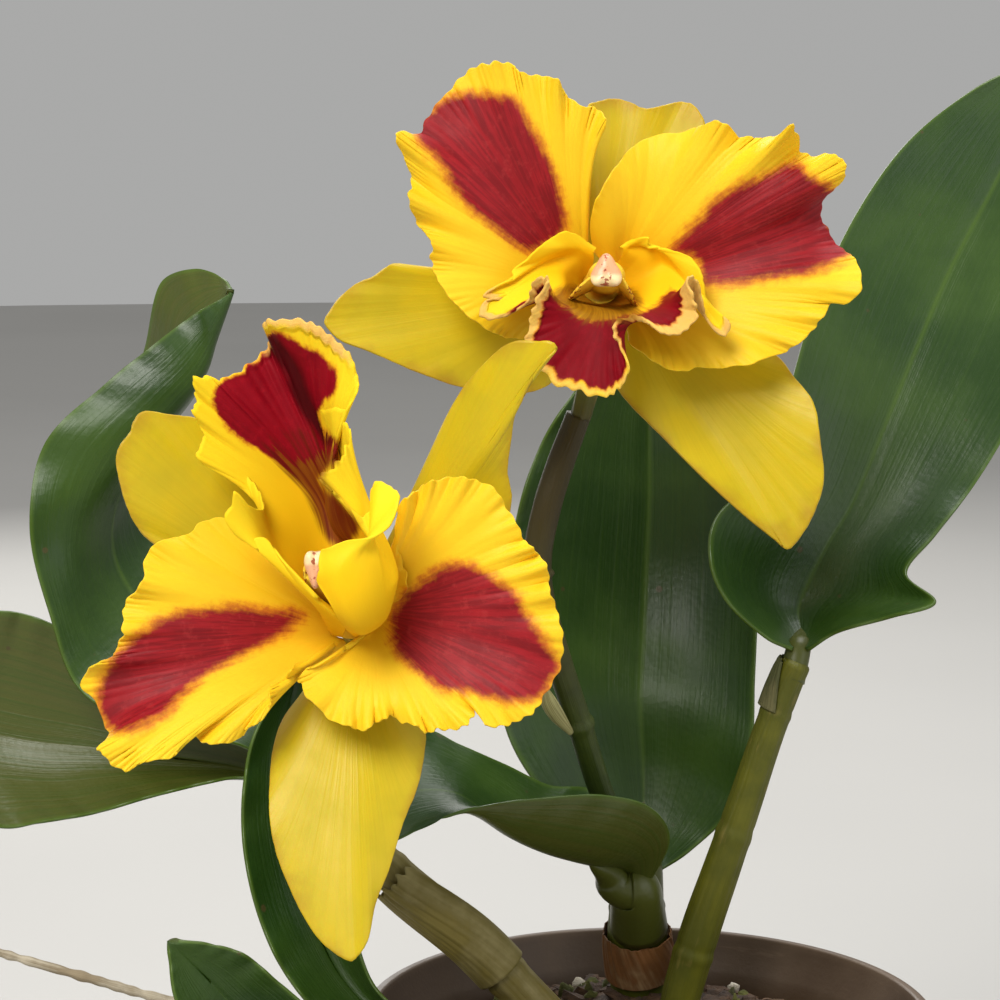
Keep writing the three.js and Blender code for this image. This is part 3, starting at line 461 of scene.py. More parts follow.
class Bench:
    """A material under construction: adds nodes and joins them."""

    def __init__(self, name: str) -> None:
        """Starts an empty material with its shader.

        Args:
            name: Name of the material.
        """
        self.material = bpy.data.materials.new(name)
        self.material.use_nodes = True
        self.tree = self.material.node_tree
        self.shader = self.tree.nodes["Principled BSDF"]

    def join(self, source: Value, target: Socket) -> None:
        """Joins an output to an input, or sets the input where the source is a value.

        Args:
            source: Socket or plain value; a colour gets its fourth part here.
            target: The input.
        """
        if isinstance(source, Socket):
            self.tree.links.new(source, target)
        else:
            target.default_value = (*source, 1.0) if target.type == "RGBA" else source

    def node(self, kind: str, inputs: dict[str | int, Value], out: str | int = 0, **choices: str) -> Socket:
        """Adds a node.

        Args:
            kind: Its type.
            inputs: What goes into it, by name or number of the input.
            out: Name or number of the output that is wanted.
            **choices: Settings of the node itself.

        Returns:
            The output.
        """
        made = self.tree.nodes.new(kind)
        for key, value in choices.items():
            setattr(made, key, value)
        for key, value in inputs.items():
            self.join(value, made.inputs[key])
        return made.outputs[out]

    def layer(self, name: str) -> Socket:
        """The value of a piece's own layer."""
        return self.node("ShaderNodeAttribute", {}, "Fac", attribute_name=name)

    def place(self) -> Socket:
        """The object's own coordinates, in metres."""
        return self.node("ShaderNodeTexCoord", {}, "Object")

    def stretched(self, scale: Point) -> Socket:
        """The object's own coordinates, scaled along each axis."""
        return self.node("ShaderNodeMapping", {"Vector": self.place(), "Scale": scale})

    def height(self) -> Socket:
        """Height over the floor, in metres."""
        return self.node("ShaderNodeSeparateXYZ", {0: self.place()}, 2)

    def plus(self, a: Value, b: Value) -> Socket:
        """The sum of two values."""
        return self.node("ShaderNodeMath", {0: a, 1: b}, operation="ADD")

    def times(self, a: Value, b: Value) -> Socket:
        """The product of two values."""
        return self.node("ShaderNodeMath", {0: a, 1: b}, operation="MULTIPLY")

    def swing(self, noise: Socket, reach: float) -> Socket:
        """How far a noise is off its middle, times a reach."""
        return self.times(self.plus(noise, -0.5), reach)

    def fade(self, value: Value, low: float, high: float, start: float = 0.0, end: float = 1.0) -> Socket:
        """A soft change from start to end while the value goes from low to high."""
        ends = dict(enumerate((value, low, high, start, end)))
        return self.node("ShaderNodeMapRange", ends, interpolation_type="SMOOTHSTEP")

    def noise(self, vector: Socket, scale: float, detail: float = 3.0, rough: float = 0.5) -> Socket:
        """Cloudy noise over a vector, about 0.5 in the middle."""
        settings = {"Vector": vector, "Scale": scale, "Detail": detail, "Roughness": rough}
        return self.node("ShaderNodeTexNoise", settings, "Fac")

    def fibres(
        self, across: Socket, wide: float, along: Socket, far: float, detail: float, rough: float = 0.5
    ) -> Socket:
        """Noise drawn out along a piece: wide and far are its beats across and along."""
        spread = {0: self.times(across, wide), 1: self.times(along, far)}
        return self.noise(self.node("ShaderNodeCombineXYZ", spread), 1.0, detail, rough)

    def cells(self, vector: Socket, scale: float) -> Socket:
        """Distance to the nearest of many scattered points."""
        return self.node("ShaderNodeTexVoronoi", {"Vector": vector, "Scale": scale}, "Distance")

    def mix(self, share: Value, a: Value, b: Value) -> Socket:
        """A colour between a and b by a share."""
        return self.node("ShaderNodeMix", {"Factor": share, 6: a, 7: b}, 2, data_type="RGBA")

    def bump(self, height: Socket, reach: float, strength: float, over: Socket | None = None) -> Socket:
        """A relief from a height of 0 to 1 that stands reach metres high, over another one."""
        inputs = {"Strength": strength, "Distance": reach, "Height": height}
        return self.node("ShaderNodeBump", inputs | ({"Normal": over} if over else {}))

    def finish(self, colour: Value, rough: Value, normal: Socket | None = None, **plain: float) -> Material:
        """Joins colour, roughness and relief to the shader.

        Args:
            colour: Colour socket or value.
            rough: Roughness socket or value.
            normal: Relief socket, or None.
            **plain: Shader inputs set to one value, with _ for a space.

        Returns:
            The finished material.
        """
        self.join(colour, self.shader.inputs["Base Color"])
        self.join(rough, self.shader.inputs["Roughness"])
        if normal:
            self.join(normal, self.shader.inputs["Normal"])
        for key, value in plain.items():
            self.shader.inputs[key.replace("_", " ")].default_value = value
        return self.material


@dataclass(frozen=True)
class PetalFinish:
    """A velvety yellow petal with a feathered red splash."""

    name: str
    yellow: Colour = (0.81, 0.52, 0.011)
    gold: Colour = (0.77, 0.43, 0.005)
    red: Colour = (0.29, 0.006, 0.011)
    deep: Colour = (0.15, 0.002, 0.005)
    dusty: Colour = (0.38, 0.03, 0.03)
    flame: Colour = (0.62, 0.13, 0.006)

    def build(self) -> Material:
        """Builds the finish from the layers rail, reach and splash.

        Returns:
            The material.
        """
        b = Bench(self.name)
        rail, reach, splash = b.layer("rail"), b.layer("reach"), b.layer("splash")
        streaks = b.fibres(rail, 34.0, reach, 3.0, 4.0, 0.6)
        veins = b.fibres(rail, 95.0, reach, 4.0, 3.0, 0.6)
        grain = b.noise(b.place(), 1500.0, 3.0, 0.6)
        spots = b.noise(b.place(), 620.0, 4.0, 0.7)
        mottle = b.noise(b.place(), 150.0, 4.0)
        feather = b.swing(streaks, 2.0)
        speckle = b.swing(spots, 2.2)
        edge = b.plus(b.plus(splash, feather), speckle)
        ground = b.mix(b.fade(reach, 0.0, 0.6, 0.8, 0.0), self.yellow, self.gold)
        ground = b.mix(b.fade(veins, 0.5, 0.7, 0.0, 0.1), ground, self.gold)
        ground = b.mix(b.fade(mottle, 0.4, 0.7, 0.0, 0.22), ground, self.gold)
        dark = b.mix(b.fade(veins, 0.4, 0.62, 0.0, 0.75), self.red, self.deep)
        dark = b.mix(b.fade(mottle, 0.35, 0.7, 0.0, 0.35), dark, self.deep)
        dark = b.mix(b.fade(spots, 0.52, 0.72, 0.0, 0.35), dark, self.dusty)
        colour = b.mix(b.fade(edge, -1.5, 0.2, 0.0, 0.65), ground, self.flame)
        colour = b.mix(b.fade(edge, -0.8, 1.1), colour, dark)
        relief = b.bump(b.plus(b.times(veins, 0.45), b.times(grain, 0.35)), 0.00013, 0.7)
        return b.finish(
            colour, b.fade(mottle, 0.3, 0.7, 0.52, 0.64), relief,
            Subsurface_Weight=0.1, Subsurface_Scale=0.002, Specular_IOR_Level=0.24,
        )


@dataclass(frozen=True)
class SepalFinish:
    """A waxy greenish-yellow sepal with faint lengthwise veins."""

    name: str = "sepal_wax"
    yellow: Colour = (0.54, 0.395, 0.005)
    green: Colour = (0.37, 0.31, 0.005)
    brown: Colour = (0.3, 0.11, 0.01)

    def build(self) -> Material:
        """Builds the finish from the layers rail, reach and tip.

        Returns:
            The material.
        """
        b = Bench(self.name)
        rail, reach, tip = b.layer("rail"), b.layer("reach"), b.layer("tip")
        veins = b.fibres(rail, 46.0, reach, 1.2, 3.0, 0.55)
        mottle = b.noise(b.place(), 130.0, 4.0)
        grain = b.noise(b.place(), 1100.0, 2.0)
        colour = b.mix(b.fade(veins, 0.4, 0.72, 0.0, 0.2), self.yellow, self.green)
        colour = b.mix(b.fade(mottle, 0.35, 0.75, 0.0, 0.4), colour, self.green)
        colour = b.mix(b.fade(reach, 0.0, 0.35, 0.55, 0.0), colour, self.green)
        browning = b.plus(tip, b.times(mottle, 1.5))
        colour = b.mix(b.fade(browning, 1.35, 2.3, 0.0, 0.75), colour, self.brown)
        relief = b.bump(b.plus(veins, b.times(grain, 0.2)), 0.00014, 0.6)
        return b.finish(
            colour, b.fade(mottle, 0.3, 0.7, 0.4, 0.52), relief,
            Subsurface_Weight=0.08, Subsurface_Scale=0.002, Specular_IOR_Level=0.28,
        )


@dataclass(frozen=True)
class LipFinish:
    """A yellow lip with a red apron, a throat patch of rusty streaks and painted shade, a fold darkened with
    painted shade and a buff crumpled edge.
    """

    name: str
    yellow: Colour = (0.84, 0.5, 0.006)
    pale: Colour = (0.82, 0.57, 0.014)
    amber: Colour = (0.68, 0.36, 0.004)
    red: Colour = (0.27, 0.002, 0.008)
    deep: Colour = (0.11, 0.001, 0.004)
    bright: Colour = (0.36, 0.006, 0.016)
    flame: Colour = (0.56, 0.11, 0.006)
    # rust and streak: throat colours. On the lower lip they are rust-red streaks; on the upper lip they are
    # painted shade in the throat under the column.
    rust_and_throat_shade: Colour = (0.26, 0.042, 0.003)
    streak_and_throat_shade: Colour = (0.11, 0.008, 0.003)
    buff: Colour = (0.7, 0.42, 0.1)
    brown: Colour = (0.24, 0.1, 0.025)
    # crease: near-black painted shade laid along the fold.
    crease: Colour = (0.032, 0.0003, 0.0012)
    drawn: float = 0.0

    def build(self) -> Material:
        """Builds the finish from the layers rail, reach, splash, streak, fold, edge and dry.

        Returns:
            The material.
        """
        b = Bench(self.name)
        rail, reach = b.layer("rail"), b.layer("reach")
        splash, streak_and_throat_shade, edge, dry = b.layer("splash"), b.layer("streak_and_throat_shade"), b.layer("edge"), b.layer("dry")
        lines = b.fibres(rail, 42.0, reach, 3.0, 3.0, 0.55)
        spots = b.noise(b.place(), 620.0, 4.0, 0.7)
        grain = b.noise(b.place(), 1500.0, 3.0, 0.6)
        mottle = b.noise(b.place(), 220.0, 4.0)
        feather = b.swing(lines, 1.1)
        speckle = b.swing(spots, 1.4)
        edging = b.plus(b.plus(splash, feather), speckle)
        throat = b.fade(b.plus(streak_and_throat_shade, feather), -0.7, 0.9)
        edging = b.plus(edging, b.times(b.times(feather, self.drawn), throat))
        stripes = b.times(b.fade(lines, 0.36, 0.66), throat)
        ground = b.mix(b.fade(reach, 0.25, 0.62), self.amber, self.yellow)
        ground = b.mix(b.fade(reach, 0.6, 0.98), ground, self.pale)
        buffing = b.plus(edge, b.swing(mottle, 1.2))
        ground = b.mix(b.fade(buffing, 0.25, 0.9), ground, self.buff)
        dark = b.mix(b.fade(lines, 0.35, 0.66, 0.0, 0.25), self.red, self.deep)
        dark = b.mix(b.fade(mottle, 0.45, 0.75, 0.0, 0.4), dark, self.deep)
        dark = b.mix(b.fade(spots, 0.5, 0.72, 0.0, 0.35), dark, self.bright)
        # Painted shade: inside the fold outline the red darkens towards the crease colour.
        dark = b.mix(b.fade(b.plus(b.layer("fold"), feather), -1.3, 0.0, 0.0, 0.85), dark, self.crease)
        colour = b.mix(b.fade(edging, -0.7, 0.0, 0.0, 0.6), ground, self.flame)
        # Throat patch: rust-red streaks on the lower lip, painted shade under the column on the upper lip.
        colour = b.mix(b.times(throat, 0.9), colour, self.rust_and_throat_shade)
        colour = b.mix(b.fade(edging, -0.3, 0.3), colour, dark)
        # Fine lines in the throat patch: real streaks on the lower lip, darker painted shade on the upper
        # lip.
        colour = b.mix(b.times(stripes, 0.8), colour, self.streak_and_throat_shade)
        drying = b.plus(dry, b.plus(mottle, -0.5))
        colour = b.mix(b.fade(drying, 0.25, 0.9), colour, self.buff)
        colour = b.mix(b.fade(drying, 0.7, 1.15, 0.0, 0.75), colour, self.brown)
        relief = b.bump(b.plus(b.times(lines, 0.35), b.times(grain, 0.25)), 0.0001, 0.5)
        crumple = b.times(b.noise(b.place(), 480.0, 3.0, 0.6), b.fade(b.plus(edge, dry), 0.1, 0.8))
        relief = b.bump(crumple, 0.0007, 0.7, relief)
        return b.finish(
            colour, b.fade(mottle, 0.3, 0.7, 0.54, 0.66), relief,
            Subsurface_Weight=0.06, Subsurface_Scale=0.0015, Specular_IOR_Level=0.09,
        )


@dataclass(frozen=True)
class LeafFinish:
    """A leathery green leaf: fine lengthwise veins, a paler rib, edge and underside."""

    name: str = "leaf_leather"
    green: Colour = (0.013, 0.04, 0.0025)
    bright: Colour = (0.03, 0.07, 0.004)
    under: Colour = (0.066, 0.076, 0.01)
    rib: Colour = (0.065, 0.12, 0.01)
    scar: Colour = (0.06, 0.04, 0.012)

    def build(self) -> Material:
        """Builds the finish from the layers side, reach and face.

        Returns:
            The material.
        """
        b = Bench(self.name)
        side, reach, face = b.layer("side"), b.layer("reach"), b.layer("face")
        veins = b.fibres(side, 26.0, reach, 1.2, 3.0, 0.6)
        clouds = b.noise(b.place(), 38.0, 4.0, 0.55)
        pores = b.cells(b.place(), 900.0)
        spots = b.cells(b.place(), 120.0)
        width = b.node("ShaderNodeMath", {0: side}, operation="ABSOLUTE")
        top = b.mix(b.fade(clouds, 0.36, 0.7), self.green, self.bright)
        top = b.mix(b.fade(veins, 0.5, 0.7, 0.0, 0.3), top, self.bright)
        top = b.mix(b.fade(width, 0.0, 0.045, 0.45, 0.0), top, self.rib)
        low = b.mix(b.fade(veins, 0.4, 0.7, 0.0, 0.5), self.under, self.bright)
        colour = b.mix(face, low, top)
        colour = b.mix(b.fade(width, 0.955, 1.0, 0.0, 0.7), colour, self.rib)
        scars = b.plus(spots, b.times(clouds, 0.25))
        colour = b.mix(b.fade(scars, 0.155, 0.19, 0.7, 0.0), colour, self.scar)
        relief = b.bump(veins, 0.00025, 0.5)
        relief = b.bump(pores, 0.00008, 0.5, relief)
        return b.finish(
            colour, b.fade(clouds, 0.3, 0.7, 0.34, 0.44), relief,
            Specular_IOR_Level=0.36, Coat_Weight=0.06, Coat_Roughness=0.3,
        )


class Bark(Enum):
    """The kinds of skin on canes, stems and roots."""

    GREEN_CANE = "green_cane"
    OLIVE_CANE = "olive_cane"
    OLD_CANE = "old_cane"
    STEM = "stem_skin"
    OVARY = "ovary_skin"
    OVARY_UPPER = "upper_ovary_skin"
    ROOT = "root_skin"
    SHEATH = "dry_sheath"
    GREY_SHEATH = "grey_sheath"


@dataclass(frozen=True)
class SkinFinish:
    """A furrowed skin along a cane, stem or root, with a blush between two heights, in metres."""

    kind: Bark
    fresh: Colour
    shade: Colour
    dry: Colour
    dryness: float
    furrows: float
    rough: float
    blush: Colour | None = None
    blush_from: float = 0.0
    blush_to: float = 0.0

    def build(self) -> Material:
        """Builds the finish from the layers along and turn.

        Returns:
            The material.
        """
        b = Bench(self.kind.value)
        along, turn = b.layer("along"), b.layer("turn")
        lines = b.fibres(turn, self.furrows, along, 28.0, 4.0, 0.6)
        clouds = b.noise(b.place(), 90.0, 4.0, 0.6)
        grain = b.noise(b.place(), 1200.0, 2.0)
        colour = b.mix(b.fade(clouds, 0.35, 0.68), self.fresh, self.shade)
        colour = b.mix(b.fade(lines, 0.48, 0.64, 0.0, 0.5), colour, self.shade)
        drying = b.plus(clouds, b.times(lines, 0.5))
        drying = b.fade(drying, 0.95 - self.dryness, 1.1 - self.dryness * 0.6)
        colour = b.mix(drying, colour, self.dry)
        if self.blush:
            low, high = sorted((self.blush_from, self.blush_to))
            ends = (0.0, 0.9) if self.blush_to == high else (0.9, 0.0)
            colour = b.mix(b.fade(b.height(), low, high, *ends), colour, self.blush)
        relief = b.bump(lines, 0.0004, 0.7)
        relief = b.bump(grain, 0.0001, 0.4, relief)
        rough = b.fade(clouds, 0.3, 0.7, self.rough - 0.06, self.rough + 0.06)
        return b.finish(colour, rough, relief, Specular_IOR_Level=0.28)


DARK_BLUSH = (0.04, 0.026, 0.007)
OVARY = (0.3, 0.33, 0.03), (0.17, 0.22, 0.02), (0.42, 0.36, 0.06), 0.12, 6.0, 0.42
SKINS = (
    SkinFinish(
        Bark.GREEN_CANE, (0.12, 0.118, 0.008), (0.075, 0.08, 0.006), (0.2, 0.16, 0.035), 0.1, 9.0, 0.5
    ),
    SkinFinish(Bark.OLIVE_CANE, (0.1, 0.11, 0.01), (0.065, 0.078, 0.008), (0.17, 0.13, 0.03), 0.1, 7.0, 0.5),
    SkinFinish(
        Bark.OLD_CANE, (0.27, 0.215, 0.055), (0.155, 0.125, 0.03), (0.36, 0.3, 0.12), 0.28, 6.0, 0.55
    ),
    SkinFinish(
        Bark.STEM, (0.06, 0.085, 0.012), (0.03, 0.048, 0.008), (0.12, 0.11, 0.03), 0.05, 7.0, 0.42,
        DARK_BLUSH, 0.125, 0.175,
    ),
    SkinFinish(Bark.OVARY, *OVARY),
    SkinFinish(Bark.OVARY_UPPER, *OVARY, DARK_BLUSH, 0.207, 0.19),
    SkinFinish(Bark.ROOT, (0.24, 0.19, 0.12), (0.12, 0.09, 0.05), (0.4, 0.35, 0.26), 0.3, 5.0, 0.85),
    SkinFinish(Bark.SHEATH, (0.22, 0.095, 0.03), (0.11, 0.045, 0.014), (0.3, 0.19, 0.09), 0.25, 24.0, 0.7),
    SkinFinish(
        Bark.GREY_SHEATH, (0.08, 0.084, 0.028), (0.048, 0.052, 0.016), (0.13, 0.12, 0.05), 0.25, 20.0, 0.7
    ),
)


@dataclass(frozen=True)
class PotFinish:
    """Moulded brown plastic, scuffed and dusty, with a painted highlight along the top of its rim."""

    brown: Colour = (0.06, 0.034, 0.017)
    dusty: Colour = (0.12, 0.08, 0.048)
    # Scuff colour, also used for the painted highlight on the rim's top.
    scuff_and_rim_highlight: Colour = (0.15, 0.1, 0.062)

    def build(self) -> Material:
        """Builds the finish from the object's coordinates.

        Returns:
            The material.
        """
        b = Bench("pot_plastic")
        place = b.place()
        clouds = b.noise(place, 22.0, 5.0, 0.6)
        specks = b.noise(place, 1400.0, 2.0)
        scuffs = b.noise(b.stretched((1.0, 1.0, 8.0)), 60.0, 3.0, 0.7)
        colour = b.mix(b.fade(clouds, 0.42, 0.72, 0.0, 0.75), self.brown, self.dusty)
        colour = b.mix(b.fade(scuffs, 0.62, 0.72, 0.0, 0.35), colour, self.scuff_and_rim_highlight)
        # Painted highlight: the top of the rim is lighter.
        colour = b.mix(b.fade(b.height(), 0.0845, 0.0862, 0.0, 0.45), colour, self.scuff_and_rim_highlight)
        relief = b.bump(specks, 0.00006, 0.5)
        relief = b.bump(scuffs, 0.00008, 0.4, relief)
        return b.finish(colour, b.fade(clouds, 0.35, 0.7, 0.38, 0.62), relief, Specular_IOR_Level=0.45)


@dataclass(frozen=True)
class ChipFinish:
    """Loose matter on the pot: bark, perlite or moss, one shade for each piece."""

    name: str
    light: Colour
    mid: Colour
    dark: Colour
    rough: float = 0.85

    def build(self) -> Material:
        """Builds the finish from the layer shade and the object's coordinates.

        Returns:
            The material.
        """
        b = Bench(self.name)
        shade = b.layer("shade")
        grain = b.noise(b.stretched((1.0, 1.0, 3.0)), 500.0, 5.0, 0.65)
        fibres = b.noise(b.place(), 190.0, 4.0, 0.6)
        colour = b.mix(shade, self.dark, self.mid)
        colour = b.mix(b.fade(fibres, 0.42, 0.7, 0.0, 0.8), colour, self.light)
        colour = b.mix(b.fade(grain, 0.5, 0.72, 0.0, 0.5), colour, self.dark)
        relief = b.bump(b.plus(grain, fibres), 0.0006, 0.8)
        return b.finish(colour, self.rough, relief)


@dataclass(frozen=True)
class AntherFinish:
    """A waxy cap, cream on its lobes and blush above, with a few red-brown marks."""

    cream: Colour = (0.84, 0.66, 0.36)
    blush: Colour = (0.74, 0.38, 0.2)
    mark: Colour = (0.34, 0.045, 0.02)

    def build(self) -> Material:
        """Builds the finish from the layers low and ridge and the object's coordinates.

        Returns:
            The material.
        """
        b = Bench("anther_wax")
        marks = b.noise(b.place(), 1100.0, 3.0, 0.6)
        clouds = b.noise(b.place(), 420.0, 2.0)
        share = b.plus(b.layer("low"), b.plus(clouds, -0.5))
        colour = b.mix(b.fade(share, 0.2, 0.8), self.blush, self.cream)
        marked = b.plus(marks, b.times(b.layer("ridge"), 0.2))
        colour = b.mix(b.fade(marked, 0.68, 0.74, 0.0, 0.9), colour, self.mark)
        return b.finish(
            colour, 0.35, b.bump(clouds, 0.0002, 0.4), Subsurface_Weight=0.15, Subsurface_Scale=0.001
        )


@dataclass(frozen=True)
class ColumnFinish:
    """A waxy yellow column with brown dots along the edges of its wings."""

    yellow: Colour = (0.84, 0.56, 0.04)
    amber: Colour = (0.66, 0.34, 0.012)
    brown: Colour = (0.27, 0.07, 0.015)

    def build(self) -> Material:
        """Builds the finish from the layer edge and the object's coordinates.

        Returns:
            The material.
        """
        b = Bench("column_wax")
        edge = b.layer("edge")
        dots = b.noise(b.place(), 1300.0, 2.0)
        clouds = b.noise(b.place(), 350.0, 3.0)
        colour = b.mix(b.fade(clouds, 0.4, 0.68, 0.0, 0.7), self.yellow, self.amber)
        share = b.fade(b.plus(b.times(edge, 0.42), dots), 0.92, 1.0)
        colour = b.mix(share, colour, self.brown)
        return b.finish(
            colour, b.fade(clouds, 0.3, 0.7, 0.5, 0.6), b.bump(clouds, 0.0002, 0.4),
            Subsurface_Weight=0.12, Subsurface_Scale=0.001, Specular_IOR_Level=0.15,
        )


@dataclass(frozen=True)
class BractFinish:
    """A thin papery bract: pale yellow-green, with fine lengthwise lines."""

    straw: Colour = (0.4, 0.38, 0.16)
    brown: Colour = (0.2, 0.17, 0.05)

    def build(self) -> Material:
        """Builds the finish from the layers side and reach.

        Returns:
            The material.
        """
        b = Bench("bract_paper")
        lines = b.fibres(b.layer("side"), 14.0, b.layer("reach"), 1.0, 3.0)
        clouds = b.noise(b.place(), 160.0, 3.0)
        colour = b.mix(b.fade(lines, 0.4, 0.65), self.straw, self.brown)
        return b.finish(colour, b.fade(clouds, 0.3, 0.7, 0.6, 0.75), b.bump(lines, 0.0002, 0.7))


@dataclass(frozen=True)
class Fan:
    """A petal or sepal: rails fan out from its claw to its margin.

    Points are across, up and out on the bloom's sheet, in mm; splash is the outline of
    its red patch, across and up.
    """

    claw: list[Point]
    margin: list[Point]
    bulge: float
    splash: list[Flat] | None = None


@dataclass(frozen=True)
class Lip:
    """A lip: rings of points from its foot through tube and throat to its margin.

    marks: margin point number, red (over 0 where it is red), plain edge in mm, buff and dry
    shares. pulls: margin point number and how far, in mm, the outer part is drawn across, up
    and out. apron, veined and fold: outlines of the red part; of the streaks, which on the upper
    lip mark a patch of painted shade in the throat; and of a crease, pushed in and darkened with
    painted shade.
    """

    rings: list[list[Point]]
    marks: list[tuple[float, float, float, float, float]]
    pulls: list[tuple[float, float, float, float]]
    apron: list[Flat]
    veins_and_throat_shade: list[Flat]
    fold: list[Flat] | None = None


@dataclass(frozen=True)
class Stem:
    """A round stem: its middle line on a sheet and the radius at each point, in mm."""

    path: list[Point]
    radii: list[float]

    def line(self, sheet: Sheet, count: int) -> tuple[Array, Array]:
        """The smooth middle line and its radii.

        Args:
            sheet: Sheet that the path is laid out on.
            count: Number of points.

        Returns:
            Points and radii, in metres.
        """
        t = steps(count)
        radii = smooth_line(np.array(self.radii)[:, None], t)[:, 0]
        return sheet.place(smooth_line(self.path, t)), radii * MM


UPPER_FANS = {
    "petal_left": Fan(
        claw=[(-2.5, -1.5, -9.5), (-3, 0.5, -9.5), (-2, 3, -9.5)], bulge=2,
        margin=[
            (-4.5, -5, -8), (-8.5, -7, -5), (-12.5, -7.5, -1), (-15.5, -7, 1), (-19, -5, 3), (-22.5, -2, 3),
            (-25, 1.5, 2), (-26, 4.5, 1), (-26, 7.5, 3), (-28, 10, 0), (-29.5, 14, 4), (-29, 17, 1),
            (-30, 20, 3), (-31.5, 23.5, 6), (-30.5, 24.5, 5), (-28, 24, 1), (-26, 27.5, -1), (-23, 31, 0),
            (-20, 34, 1), (-17, 35, 3), (-14, 35, 1), (-12, 33.5, 2), (-9, 33, 0), (-6.5, 32.5, 3),
            (-5.5, 30.5, 0), (-3, 28.5, 1), (-0.5, 28, 0), (1, 26, 2), (-0.5, 23, -1), (-2.5, 18.5, -3),
            (-4, 14, -4), (-4, 9.5, -6), (-3, 6, -8),
        ],
        splash=[
            (-28.5, 24.5), (-24.5, 29), (-20, 30.5), (-15.5, 30), (-12.5, 28.5), (-8.5, 21.5), (-6.5, 16),
            (-5.5, 9.5), (-8.5, 7), (-11.5, 6), (-15.5, 9), (-19.5, 12), (-22.5, 15.5), (-24.5, 19),
            (-27, 21.5),
        ],
    ),
    "petal_right": Fan(
        claw=[(3, -1.5, -9.5), (3, 0.5, -9.5), (2.5, 3, -9.5)], bulge=2,
        margin=[
            (5, -5, -7), (4.5, -8, -3), (7, -10, 0), (10, -12, 1), (12.5, -12.5, 3), (15.5, -12, 1),
            (20, -12, 2), (24.5, -11, 3), (28.5, -9.5, 1), (31, -8, 3), (33, -6, 1), (34.5, -4, 3),
            (36, -2, 1), (38.5, -2, 3), (40.5, 1, 4), (39.5, 4.5, 1), (38.5, 5.5, -1), (36.5, 7, -3),
            (35, 9.5, -4), (34, 11.5, -4), (34.5, 14, -2), (36, 15.5, 2), (37.5, 17, 5), (38, 19, 7),
            (37, 20.5, 7), (35, 21, 5), (33, 20.5, 2), (31, 21.5, 2), (30.5, 24, 6), (29.5, 25.5, 9),
            (28, 24, 6), (26, 23.5, 1), (23.5, 23.5, 0), (21, 24, 1), (19, 26, 3), (16, 25.5, 1),
            (13.5, 24.5, -2), (7.5, 23.5, -2), (4, 21, -1), (1.5, 17.5, 0), (-0.5, 14, 0), (-1.5, 10, -3),
            (-1, 6, -7),
        ],
        splash=[
            (11, 6), (15.5, 11), (18.5, 14.5), (24.5, 17.5), (30, 19.5), (32.5, 17.5), (36, 15.5),
            (35, 11.5), (36.5, 8.5), (38.5, 5.5), (34, 3), (28, 2), (21.5, 1), (16, 1), (15.5, 4), (14, 5.5),
        ],
    ),
    "sepal_dorsal": Fan(
        claw=[(-1.5, 2.5, -12), (0, 3, -12), (2, 2.5, -12)], bulge=-2,
        margin=[
            (-3, 7, -13), (-4.5, 13, -14), (-4, 21.5, -15), (-2, 28, -14), (-0.5, 29, -15), (2, 29.5, -17),
            (4.5, 29, -17), (7, 28, -16), (10, 28.5, -16), (12.5, 29, -17), (15, 28, -16), (16.5, 24, -15),
            (15.5, 17, -14), (10, 10, -13), (3.5, 6, -13),
        ],
    ),
    "sepal_left": Fan(
        claw=[(-1, -2, -12), (-2.5, -0.5, -12), (-2.5, 1.5, -12)], bulge=-1,
        margin=[
            (-4, -8.5, -13), (-6, -12.5, -13), (-8.5, -15, -12), (-12.5, -16, -11), (-17, -15.5, -10),
            (-21.5, -15, -9), (-26, -13.5, -7), (-31, -11.5, -6), (-35.5, -9.5, -5), (-39.5, -8, -5),
            (-41, -7, -5), (-42.5, -5, -5), (-41.5, -3, -5), (-40, -1, -5), (-37.5, 1, -6), (-35, 2, -6),
            (-33, 3.5, -6), (-31.5, 4, -7), (-29, 3.5, -8), (-25.5, 3, -10), (-18.5, 3.5, -12),
            (-9.5, 3, -13),
        ],
    ),
    "sepal_right": Fan(
        claw=[(3, 1.5, -12), (3, -0.5, -12), (1.5, -2, -12)], bulge=-1,
        margin=[
            (6, -5.5, -13), (14, -7.5, -12), (21.5, -8.5, -10), (27, -10, -8), (30, -13.5, -6),
            (33, -17.5, -4), (34, -23.5, -3), (34.5, -29.5, -3), (33, -34.5, -4), (31, -38, -5),
            (29, -40, -6), (27, -38.5, -6), (21.5, -34, -5), (15.5, -28.5, -5), (9.5, -22.5, -7),
            (4.5, -17.5, -9), (2, -14, -11), (0.5, -8.5, -13),
        ],
    ),
}

